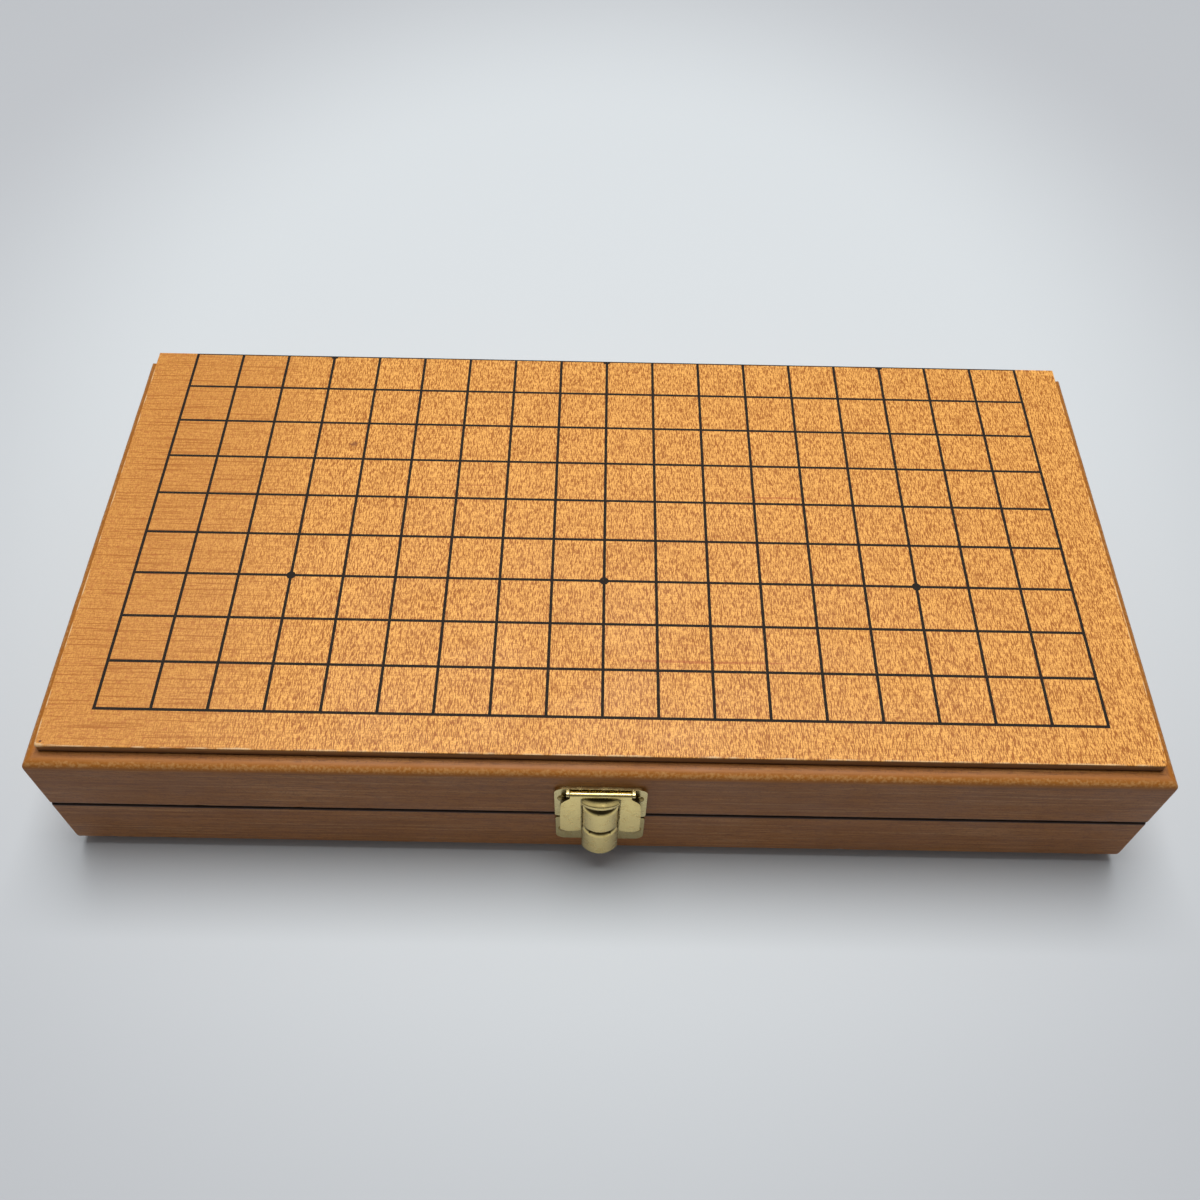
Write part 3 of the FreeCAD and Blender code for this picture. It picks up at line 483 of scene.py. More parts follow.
@dataclass(frozen=True)
class VarnishedRail(Finish):
    """Basswood rail, stained orange-brown and varnished: fine straight grain, paler edges that are
    rubbed and carry a painted highlight, and painted shade at the parting.

    Real fibres and pores are too fine to show, so they are drawn at a third to half a millimetre.
    """

    grain: Grain = Grain.ALONG_X
    base: str = "#A26426"
    dark: str = "#8A521D"
    streak: str = "#6E4018"
    pale: str = "#B98046"
    thin: str = "#A6641A"
    worn: str = "#D4A468"
    soil: str = "#231309"
    shift: float = 0.0

    def paint(self, surface: Surface) -> None:
        """Stain and straight grain, worn edges with a painted highlight, and painted shade at the
        parting, under varnish.

        Args:
            surface: the material under way.
        """
        along, shift = self.grain.blotch, self.shift
        colour = surface.layered(
            self.base,
            Layer(self.dark, along(60, 1.1), (0.42, 0.7), 0.8, detail=3.0, shift=shift),
            Layer(self.pale, along(38, 0.9), (0.5, 0.7), 0.7, detail=3.0, shift=shift + 12),
            Layer(self.streak, along(3.4, 0.34), (0.48, 0.7), 0.6, detail=2.0, shift=shift + 4),
            Layer(self.streak, (0.55, 0.55, 0.55), (0.52, 0.7), 0.4, detail=1.0, shift=shift + 15),
            Layer(self.dark, (34, 34, 34), (0.45, 0.75), 0.35, detail=2.0, shift=shift + 8),
        )
        patchy = surface.blotches((0.8, 0.8, 0.8), 3.0, shift)
        rubbed = surface.add("Math", TIMES, {0: surface.wear_and_painted_light, 1: patchy})
        # rubbed wear, and a painted highlight: the rounds are laid lighter where they face up into
        # the light, most at 45 degrees
        colour = surface.laid(colour, self.thin, surface.wear_and_painted_light, (0.05, 0.5), 0.7)
        colour = surface.laid(colour, self.worn, rubbed, (0.34, 0.66), 0.45)
        # painted shade: near-black where the wear is under 0, in the crease at the parting between
        # the halves
        colour = surface.laid(colour, self.soil, surface.wear_and_painted_light, (-0.05, -0.7), 0.94)
        varnish(surface, colour, along(6, 0.3))


@dataclass(frozen=True)
class BareWood(Finish):
    """Planed paulownia, unvarnished: pale and dry, with soft straight grain."""

    grain: Grain = Grain.ALONG_X
    base: str = "#D9B98A"
    dark: str = "#BC9463"
    shift: float = 0.0

    def paint(self, surface: Surface) -> None:
        """Pale wood with soft growth lines and raised fibres.

        Args:
            surface: the material under way.
        """
        along, shift = self.grain.blotch, self.shift
        growth = Layer(self.dark, along(90, 2.6), (0.42, 0.7), 0.8, detail=3.0, shift=shift)
        fibres = surface.blotches(along(7, 0.25), 2.0, shift + 4)
        colour = surface.layered(self.base, growth)
        colour = surface.laid(colour, self.dark, fibres, (0.5, 0.8), 0.5)
        bump = surface.add("Bump", {}, {"Height": fibres, "Distance": 0.04 * MM, "Strength": 0.7})
        surface.feed(surface.shader, {"Base Color": colour, "Roughness": 0.72, "Normal": bump})


@dataclass(frozen=True)
class PlywoodEdge(Finish):
    """The cut edge of thin plywood: brown end-grain core between two pale faces."""

    core: str = "#8C5E33"
    ply: str = "#B07C48"
    streak: str = "#57361A"
    worn: str = "#E3C394"
    soil: str = "#1E0F06"

    def paint(self, surface: Surface) -> None:
        """Thin plies and short dark streaks along the edge.

        Args:
            surface: the material under way.
        """
        colour = surface.layered(
            self.core,
            Layer(self.ply, (120, 120, 0.7), (0.45, 0.65), 0.6, detail=1.0, shift=2),
            Layer(self.streak, (5, 5, 0.4), (0.5, 0.75), 0.7, detail=3.0, shift=6),
        )
        colour = surface.laid(colour, self.worn, surface.wear_and_painted_light, (0.6, 1.0), 0.7)
        # painted shade: dark at the foot, in the gap where the plate stands on the frame
        colour = surface.laid(colour, self.soil, surface.wear_and_painted_light, (-0.05, -0.9), 0.9)
        varnish(surface, colour, (2, 2, 0.3))


@dataclass(frozen=True)
class PlatedBrass(Finish):
    """Stamped steel with bright brass plate: pale yellow-olive, softly dulled and finely pitted.

    Real pits are about a tenth of a millimetre, so they are drawn three times as coarse to show.
    """

    base: str = "#EDD58C"
    tarnish: str = "#CBAE67"
    pit: str = "#6E5A2C"
    soil: str = "#2A1D0A"
    roughness: float = 0.18
    dulling: float = 0.14

    def paint(self, surface: Surface) -> None:
        """Metal with clouded gloss, pits, and painted shade in its grooves, over the tongue's
        pressed-in top and on the back of its curl.

        Args:
            surface: the material under way.
        """
        clouds = surface.blotches((2.5, 2.5, 2.5), 3.0)
        colour = surface.laid(linear(self.base), self.tarnish, clouds, (0.45, 0.8), 0.5)
        pits = surface.blotches((0.35, 0.35, 0.35), 1.0, 5)
        begins, full = 0.7, 0.78
        colour = surface.laid(colour, self.pit, pits, (begins, full))
        # painted shade: dark where the wear is under 0, in the tongue's grooves, over its pressed-in
        # top and on the back of the curl
        colour = surface.laid(colour, self.soil, surface.wear_and_painted_light, (-0.02, -0.9), 0.95)
        dulled = {0: clouds, 1: 0.3, 2: 0.7, 3: self.roughness, 4: self.roughness + self.dulling}
        rough = surface.add("MapRange", {}, dulled)
        hollow = surface.add("MapRange", SMOOTH, {0: pits, 1: begins, 2: full})
        sunk = {"Height": hollow, "Distance": 0.015 * MM, "Strength": 0.4}
        bump = surface.add("Bump", {"invert": True}, sunk)
        shown = {"Base Color": colour, "Metallic": 1.0, "Roughness": rough, "Normal": bump}
        surface.feed(surface.shader, shown)


@dataclass(frozen=True)
class CutEdgeAndShadow(Finish):
    """The cut edge of plated sheet steel: bare, dull and darker than the plate, and dark enough to
    paint the shadow outline round the hasp's ears and tongue.
    """

    base: str = "#4A3A1E"
    shear: str = "#2B200E"

    def paint(self, surface: Surface) -> None:
        """Dark metal with shear marks, drawn coarse enough to show.

        Args:
            surface: the material under way.
        """
        colour = surface.layered(self.base, Layer(self.shear, (0.3, 0.3, 0.3), (0.45, 0.7), 0.7))
        shown = {"Base Color": colour, "Metallic": 1.0, "Roughness": 0.42}
        surface.feed(surface.shader, shown)


@dataclass(frozen=True)
class DrawnSteel(Finish):
    """Drawn steel wire and bar: grey, with fine scratches along it."""

    base: str = "#B9B7B2"
    scratch: str = "#7F7C76"

    def paint(self, surface: Surface) -> None:
        """Grey metal with draw marks.

        Args:
            surface: the material under way.
        """
        colour = surface.layered(self.base, Layer(self.scratch, (4, 0.2, 0.2), (0.5, 0.8), 0.6))
        shown = {"Base Color": colour, "Metallic": 1.0, "Roughness": 0.33}
        surface.feed(surface.shader, shown)


# ---- meshes ----------------------------------------------------------------------------------


class Shell:
    """Gathers the corners and faces of one piece, in millimetres."""

    def __init__(self) -> None:
        """Start with nothing."""
        self.corners: list[Vector] = []
        self.wear_and_painted_light: list[float] = []
        self.faces: list[tuple[int, ...]] = []
        self.finish_of_face: list[int] = []

    def skin(self, rings: Sequence[Ring], looped: bool = False) -> None:
        """Join a row of rings into a closed skin, in the piece's first finish.

        Args:
            rings: rings of corners, all with as many corners.
            looped: whether the last ring joins the first, instead of both being filled.
        """
        first = len(self.corners)
        size = len(rings[0])
        for ring in rings:
            self.corners += [corner for corner, _ in ring]
            self.wear_and_painted_light += [wear_and_painted_light for _, wear_and_painted_light in ring]
        for i in range(len(rings) if looped else len(rings) - 1):
            low = first + i * size
            high = first + (i + 1) % len(rings) * size
            for j in range(size):
                k = (j + 1) % size
                self.faces.append((low + j, low + k, high + k, high + j))
        if not looped:
            last = first + (len(rings) - 1) * size
            self.faces.append(tuple(reversed(range(first, first + size))))
            self.faces.append(tuple(range(last, last + size)))
        self.finish_of_face += [0] * (len(self.faces) - len(self.finish_of_face))

    def board(self, low: Vector, high: Vector, ease: float, spacing: float = 12.0) -> None:
        """Add a board with all its edges rounded.

        Args:
            low: its lowest corner.
            high: its highest corner.
            ease: the radius of its edges.
            spacing: how far apart its rings lie along its longest side.
        """
        size = high - low
        long = max(range(3), key=lambda i: size[i])
        u, v = (long + 1) % 3, (long + 2) % 3
        middle = (low + high) / 2
        support = min(0.6, 0.2 * min(size[u], size[v]))
        half = size[long] / 2
        rows = [(-half, ease + support, 0.0)]
        for x, y in arc(ease, 180, 90, EASE_STEPS):
            rows.append((-half + ease + x, ease - y, 1.0))
        run = half - ease - support
        count = max(1, round(2 * run / spacing))
        ends = [(-s, inset, wear_and_painted_light) for s, inset, wear_and_painted_light in reversed(rows)]
        rows += [(-run + 2 * run * i / count, 0.0, 0.0) for i in range(count + 1)]
        rings: list[Ring] = []
        for s, inset, row_wear in rows + ends:
            wide, deep = size[u] - 2 * inset, size[v] - 2 * inset
            ring: Ring = []
            for x, y, wear_and_painted_light in eased_rectangle(wide, deep, ease - inset, support):
                spot = Vector((0, 0, 0))
                spot[u], spot[v], spot[long] = middle[u] + x, middle[v] + y, middle[long] + s
                ring.append((spot, max(wear_and_painted_light, row_wear)))
            rings.append(ring)
        self.skin(rings)

    def turned(
        self,
        profile: Sequence[tuple[float, float]],
        foot: Vector,
        axis: Vector,
        looped: bool = False,
        steps: int = 40,
    ) -> None:
        """Add a round shape.

        Args:
            profile: pairs of a radius and a height along the axis.
            foot: where the axis starts.
            axis: its direction.
            looped: whether the profile closes on itself, as a tube's does.
            steps: how many corners lie round it.
        """
        turn = Vector((0, 0, 1)).rotation_difference(axis)
        rings: list[Ring] = []
        for radius, height in profile:
            spots = [Vector((x, y, height)) for x, y in arc(radius, 0, 360, steps)[:-1]]
            rings.append([(foot + turn @ spot, 0.0) for spot in spots])
        self.skin(rings, looped)

    def slice(
        self, outline: Sequence[tuple[float, float]], low: float, high: float, place: Place
    ) -> None:
        """Add a flat sheet: an outline raised from low to high.

        Args:
            outline: its corners.
            low: the height of one face.
            high: the height of the other.
            place: takes x, y and height to the piece's frame.
        """
        heights = (low, high)
        self.skin([[(place(Vector((x, y, h))), 0.0) for x, y in outline] for h in heights])

    def piece(
        self, name: str, finishes: Sequence[Finish] = (), place: Place | None = None
    ) -> bpy.types.Object:
        """Turn what was gathered into an object.

        Args:
            name: the piece's name.
            finishes: the finishes that the faces' numbers stand for.
            place: takes a corner from the piece's own frame to the case's, in millimetres.

        Returns:
            The object, in metres.
        """
        corners = [place(c) if place else c for c in self.corners]
        mesh = bpy.data.meshes.new(name)
        mesh.from_pydata([c * MM for c in corners], [], self.faces)
        note_wear_and_painted_light(mesh, self.wear_and_painted_light)
        mesh.polygons.foreach_set("material_index", self.finish_of_face)
        made = in_scene(mesh)
        for finish in finishes:
            mesh.materials.append(finish.material())
        tidy_normals(made)
        return made


def note_wear_and_painted_light(mesh: bpy.types.Mesh, wear_and_painted_light: Sequence[float]) -> None:
    """Note at each corner of a mesh how worn it is, and where light or shade is painted on it, for
    the finishes.
    """
    mesh.attributes.new("wear_and_painted_light", "FLOAT", "POINT").data.foreach_set("value", wear_and_painted_light)


def in_scene(data: bpy.types.ID) -> bpy.types.Object:
    """Put a mesh, curve, lamp or camera into the scene.

    Args:
        data: what the object shows.

    Returns:
        The object, named as its data is.
    """
    made = bpy.data.objects.new(data.name, data)
    bpy.context.scene.collection.objects.link(made)
    return made


def tidy_normals(piece: bpy.types.Object) -> None:
    """Turn the faces outwards, and shade smoothly between faces that meet at a small angle.

    Args:
        piece: the piece.
    """
    edit = bmesh.new()
    edit.from_mesh(piece.data)
    bmesh.ops.recalc_face_normals(edit, faces=edit.faces)
    edit.to_mesh(piece.data)
    edit.free()
    piece.data.shade_smooth()
    piece.data.set_sharp_from_angle(angle=math.radians(SHARP_DEGREES))


def flatten_shade(piece: bpy.types.Object) -> None:
    """Keep a piece's flat faces flat in shade."""
    piece.modifiers.new("weigh", "WEIGHTED_NORMAL").keep_sharp = True


def soften(piece: bpy.types.Object, width: float, steps: int = 2) -> bpy.types.Modifier:
    """Ease the sharp edges of a piece, and keep its flat faces flat in shade.

    Args:
        piece: the piece.
        width: how wide the eased edge is.
        steps: how many facets it has.

    Returns:
        The modifier that eases the edges.
    """
    ease = piece.modifiers.new("ease", "BEVEL")
    ease.width = width * MM
    ease.segments = steps
    ease.limit_method = "ANGLE"
    ease.angle_limit = math.radians(SHARP_DEGREES + 2)
    flatten_shade(piece)
    return ease


def carve(piece: bpy.types.Object, cutters: Sequence[bpy.types.Object]) -> None:
    """Cut shapes out of a piece for good, and remove the shapes.

    Args:
        piece: the piece.
        cutters: the shapes.
    """
    for cutter in cutters:
        cutting = piece.modifiers.new("carve", "BOOLEAN")
        cutting.operation = "DIFFERENCE"
        cutting.solver = "EXACT"
        cutting.object = cutter
    graph = bpy.context.evaluated_depsgraph_get()
    carved = bpy.data.meshes.new_from_object(piece.evaluated_get(graph))
    piece.modifiers.clear()
    piece.data = carved
    for cutter in cutters:
        bpy.data.objects.remove(cutter)
    tidy_normals(piece)


def arc(radius: float, start: float, end: float, steps: int) -> list[tuple[float, float]]:
    """Points on an arc round the origin, from one angle in degrees to another."""
    angles = [math.radians(start + (end - start) * i / steps) for i in range(steps + 1)]
    return [(radius * math.cos(a), radius * math.sin(a)) for a in angles]


def between(low: float, value: float, high: float) -> float:
    """A value, kept between two others."""
    return max(low, min(high, value))


def eased_rectangle(
    wide: float, deep: float, radius: float, support: float
) -> list[tuple[float, float, float]]:
    """A rectangle round the origin with rounded corners, and supports where each round ends.

    Args:
        wide: its size along x.
        deep: its size along y.
        radius: the radius of its corners.
        support: how far the extra corners lie from each round.

    Returns:
        x, y and wear of each corner.
    """
    radius = max(radius, 0.01)
    corners: list[tuple[float, float, float]] = []
    for start, sx, sy in ((0, 1, 1), (90, -1, 1), (180, -1, -1), (270, 1, -1)):
        middle = Vector((sx * (wide / 2 - radius), sy * (deep / 2 - radius)))
        turn = [middle + Vector(spot) for spot in arc(radius, start, start + 90, EASE_STEPS)]
        along = Vector((sx, 0)) if start % 180 == 90 else Vector((0, sy))
        onward = Vector((-sx, 0)) if start % 180 == 0 else Vector((0, -sy))
        before = turn[0] - along * support
        after = turn[-1] + onward * support
        corners.append((before.x, before.y, 0.0))
        corners += [(spot.x, spot.y, 1.0) for spot in turn]
        corners.append((after.x, after.y, 0.0))
    return corners


def cornered(
    x_low: float, x_high: float, y_low: float, y_high: float, radii: tuple[float, ...]
) -> list[tuple[float, float]]:
    """A rectangle with a radius for each corner.

    Args:
        x_low: its left.
        x_high: its right.
        y_low: its foot.
        y_high: its top.
        radii: the radii at top right, top left, foot left and foot right.

    Returns:
        x and y of each corner.
    """
    middles = ((x_high, y_high, 1, 1), (x_low, y_high, -1, 1))
    middles += ((x_low, y_low, -1, -1), (x_high, y_low, 1, -1))
    outline: list[tuple[float, float]] = []
    for quarter, (x, y, sx, sy) in enumerate(middles):
        radius = radii[quarter]
        for dx, dy in arc(radius, 90 * quarter, 90 * quarter + 90, CORNER_STEPS):
            outline.append((x - sx * radius + dx, y - sy * radius + dy))
    return outline


def upright(spot: Vector) -> Vector:
    """A sheet drawn in y and z, raised along the case."""
    return Vector((spot.z, spot.x, spot.y))


def settle(piece: bpy.types.Object, body: str, slot: str, *nodes: str) -> None:
    """Hand a finished piece to its body, in place of the CAD nodes that it stands for.

    Args:
        piece: the piece.
        body: the body that it rides on.
        slot: the slot of its material; not used.
        nodes: the CAD nodes.
    """
    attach(piece, body)
    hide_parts(*nodes)
    log.info("%s: %d faces, rides on %s", piece.name, len(piece.data.polygons), body)


def dress(node: str, finish: Finish) -> None:
    """Give a CAD node its finish.

    Args:
        node: the node.
        finish: its finish.
    """
    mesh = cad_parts[node].data
    if not mesh.materials:
        mesh.materials.append(None)
    for i in range(len(mesh.materials)):
        mesh.materials[i] = finish.material()
    log.info("%s: finished as %s", node, finish.name)


# ---- where things are ------------------------------------------------------------------------


@cache
def boxed(node: str) -> tuple[Vector, Vector]:
    """A CAD node's lowest and highest corner, in millimetres."""
    low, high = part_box(node)
    return (low / MM).freeze(), (high / MM).freeze()


PARTING = (boxed("lower_front_rail")[1].z + boxed("upper_front_rail")[0].z) / 2


class Half(Enum):
    """The halves of the case. Each has a frame with z = 0 on the parting plane, rising outwards."""

    UPPER = "upper"
    LOWER = "lower"

    @property
    def facing(self) -> int:
        """1 for the upper half, -1 for the lower half, which is turned half a turn about Y."""
        return 1 if self is Half.UPPER else -1

    def place(self, spot: Vector) -> Vector:
        """A spot of the half's frame, in the case's frame."""
        return Vector((self.facing * spot.x, spot.y, PARTING + self.facing * spot.z))

    def local(self, node: str) -> tuple[Vector, Vector]:
        """The box of one of the half's nodes.

        Args:
            node: the node, without its half.

        Returns:
            Its lowest and its highest corner, in the half's frame.
        """
        low, high = boxed(f"{self.value}_{node}")
        if self is Half.UPPER:
            return low - Vector((0, 0, PARTING)), high - Vector((0, 0, PARTING))
        return Vector((-high.x, low.y, PARTING - high.z)), Vector((-low.x, high.y, PARTING - low.z))

    def rise(self, height: float) -> float:
        """How high a height over the parting plane lies in the case's frame."""
        return PARTING + self.facing * height

    @property
    def body(self) -> str:
        """The body that the half is."""
        return f"{self.value}_half"

    @property
    def drawer(self) -> str:
        """The body that the half's drawer is."""
        return f"{self.value}_drawer"


def plain_boards(
    half: Half, body: str, boards: Iterable[tuple[str, str, Finish, float]]
) -> None:
    """Make boards with rounded edges where some of a half's nodes are.

    Args:
        half: the half that they belong to.
        body: the body that they ride on.
        boards: the node, without its half, the slot, the finish and the rounding of each.
    """
    for node, slot, finish, ease in boards:
        shell = Shell()
        shell.board(*half.local(node), ease)
        name = f"{half.value}_{node}"
        settle(shell.piece(f"dressed_{name}", [finish], half.place), body, slot, name)


def steel_pin(node: str, body: str, ends: Sequence[tuple[float, float]]) -> None:
    """Make a steel pin along the case, with its ends rounded over.

    Args:
        node: the node that it stands for.
        body: the body that it rides on.
        ends: the corners of a rounded end: the share of the pin's radius, and the distance from
            the end.
    """
    low, high = boxed(node)
    radius = (high.z - low.z) / 2
    length = high.x - low.x
    profile = [(share * radius, away) for share, away in ends]
    profile += [(share * radius, length - away) for share, away in reversed(ends)]
    shell = Shell()
    shell.turned(profile, Vector((low.x, (low.y + high.y) / 2, (low.z + high.z) / 2)), ALONG_CASE)
    pin = shell.piece(f"dressed_{node}", [DrawnSteel("drawn_steel")])
    settle(pin, body, "pin_steel", node)


# ---- board plates ----------------------------------------------------------------------------


@dataclass
class BoardPlate:
    """The thin veneered plywood plate of one half, with its printed grid.

    Its top edge is rubbed unevenly: waves and nicks are how many of them a millimetre holds, and
    their shares are what they add to the rounding.
    """

    half: Half
    corner: float = 0.9
    corner_steps: int = 5
    ease: float = 0.22
    rubbed_corner: float = 0.4
    rubbed_reach: float = 3.0
    waves: float = 0.09
    wave_share: float = 0.5
    nicks: float = 0.9
    nick_level: float = 0.45
    nick_share: float = 1.6
    foot_ease: float = 0.45
    station: float = 1.5
    under_ink: float = 0.015
    lower_shift: float = 40.0

    def outline(self, inset: Callable[[float, float], float]) -> list[tuple[float, ...]]:
        """The plate's outline, with square rear corners.

        Args:
            inset: how far the outline lies inwards at a spot of the full outline.

        Returns:
            x and y of each corner, and the spot of the full outline that it stands for.
        """
        low, high = self.half.local("board_plate")
        sides = round((high.y - low.y) / self.station)
        fronts = round((high.x - low.x) / self.station)
        left, right = inset(low.x, low.y), inset(high.x, low.y)
        round_left, round_right = (max(self.corner - r, LEAST_ROUND) for r in (left, right))
        x_left, x_right = low.x + left + round_left, high.x - right - round_right
        y_left, y_right = low.y + left + round_left, low.y + right + round_right
        spots: list[tuple[float, ...]] = []
        for i in range(sides + 1):
            y = high.y + (low.y - high.y) * i / sides
            at = high.y + (y_left - high.y) * i / sides
            spots.append((low.x + inset(low.x, y), at, low.x, y))
        for dx, dy in arc(round_left, 180, 270, self.corner_steps)[1:-1]:
            spots.append((x_left + dx, y_left + dy, low.x, low.y))
        for i in range(fronts + 1):
            x = low.x + (high.x - low.x) * i / fronts
            at = x_left + (x_right - x_left) * i / fronts
            spots.append((at, low.y + inset(x, low.y), x, low.y))
        for dx, dy in arc(round_right, 270, 360, self.corner_steps)[1:-1]:
            spots.append((x_right + dx, y_right + dy, high.x, low.y))
        for i in range(sides + 1):
            y = low.y + (high.y - low.y) * i / sides
            at = y_right + (high.y - y_right) * i / sides
            spots.append((high.x - inset(high.x, y), at, high.x, y))
        return spots

    def rubbed(self, x: float, y: float) -> float:
        """How far the top edge is rounded: uneven, nicked, and most at the front left corner.

        Args:
            x: where along the case.
            y: where from front to back.

        Returns:
            The radius of the rounding there.
        """
        low, _ = self.half.local("board_plate")
        own, shared = self.half.facing * 3.0, 7.0
        wave = noise.noise(Vector((x * self.waves, y * self.waves, own)))
        nick = noise.noise(Vector((x * self.nicks, y * self.nicks, shared)))
        nick = max(0.0, nick - self.nick_level)
        away = math.hypot(x - low.x, y - low.y)
        corner = self.rubbed_corner * math.exp(-away / self.rubbed_reach)
        return self.ease * (1 + self.wave_share * wave + self.nick_share * nick) + corner

    def foot_rings(self) -> list[Ring]:
        """The rings of the plywood edge, with painted shade where it stands on the frame.

        Returns:
            The rings, the lowest first.
        """
        low, high = self.half.local("board_plate")
        rings: list[Ring] = []
        # wear under 0 at the foot: painted shade in the gap where the plate stands on the frame
        for inset, z, wear_and_painted_light in (
            (self.foot_ease, low.z, -1.0),
            (0.3 * self.foot_ease, low.z + 0.3 * self.foot_ease, -1.0),
            (0.0, low.z + self.foot_ease, -0.7),
            (0.0, (low.z + high.z) / 2, 0.0),
        ):
            full = self.outline(lambda x, y: inset)
            rings.append([(Vector((x, y, z)), wear_and_painted_light) for x, y, _, _ in full])
        return rings

    def top_rings(self) -> list[Ring]:
        """The rings of the veneer: up its edge, over the rubbed rounding and onto its face.

        Returns:
            The rings, the lowest first.
        """
        top = self.half.local("board_plate")[1].z - self.under_ink
        # share of the rubbed radius inwards, further inwards, share of it down, wear
        rows = [(0.0, 0.0, 1.5, 0.1)]
        for turn in range(0, 91, 18):
            bend = math.radians(turn)
            rows.append((1 - math.cos(bend), 0.0, 1 - math.sin(bend), 1.0))
        rows += [(1.0, 0.5, 0.0, 0.35), (1.0, 3.0, 0.0, 0.0)]
        rings: list[Ring] = []
        for share, beyond, drop, wear_and_painted_light in rows:
            edge = self.outline(lambda x, y: share * self.rubbed(x, y) + beyond)
            ring: Ring = []
            for x, y, x_full, y_full in edge:
                ring.append((Vector((x, y, top - drop * self.rubbed(x_full, y_full))), wear_and_painted_light))
            rings.append(ring)
        return rings

    def build(self) -> None:
        """Make the plate, and ink its grid."""
        foot = self.foot_rings()
        shell = Shell()
        shell.skin(foot + self.top_rings())
        plywood_faces = sum(len(ring) for ring in foot)
        shell.finish_of_face[:plywood_faces] = [1] * plywood_faces
        upper = self.half is Half.UPPER
        veneer = KatsuraVeneer(
            f"katsura_veneer_{self.half.value}",
            shift=0.0 if upper else self.lower_shift,
            marks=UPPER_MARKS if upper else (),
        )
        name = f"{self.half.value}_board_plate"
        finishes = [veneer, PlywoodEdge("plywood_edge")]
        plate = shell.piece(f"dressed_{name}", finishes, self.half.place)
        flatten_shade(plate)
        settle(plate, self.half.body, "board_veneer", name)
        dress(f"{self.half.value}_grid_lines", PrintedInk("printed_ink"))


# ---- mitred frame ----------------------------------------------------------------------------


class Side(Enum):
    """The rails of a half: which node, which way is out, which way it runs, what sets it apart."""

    FRONT = ("front_rail", (0, -1), (1, 0), 1.0)
    REAR = ("rear_rail", (0, 1), (-1, 0), 4.0)
    CLOSED = ("closed_end_rail", (-1, 0), (0, -1), 7.0)
    WINDOW = ("window_rail", (1, 0), (0, 1), 9.0)

    @property
    def node(self) -> str:
        """The rail's node, without its half."""
        return self.value[0]

    @property
    def out(self) -> Vector:
        """The way out of the case."""
        return Vector((*self.value[1], 0))

    @property
    def along(self) -> Vector:
        """The way that the rail runs."""
        return Vector((*self.value[2], 0))

    @property
    def grain(self) -> Grain:
        """The way that its grain runs."""
        return Grain.ALONG_X if self.value[2][0] else Grain.ALONG_Y

    def drift(self, half: Half) -> float:
        """What sets a rail's grain and dents apart from the other rails'."""
        return self.value[3] + 20 * half.facing


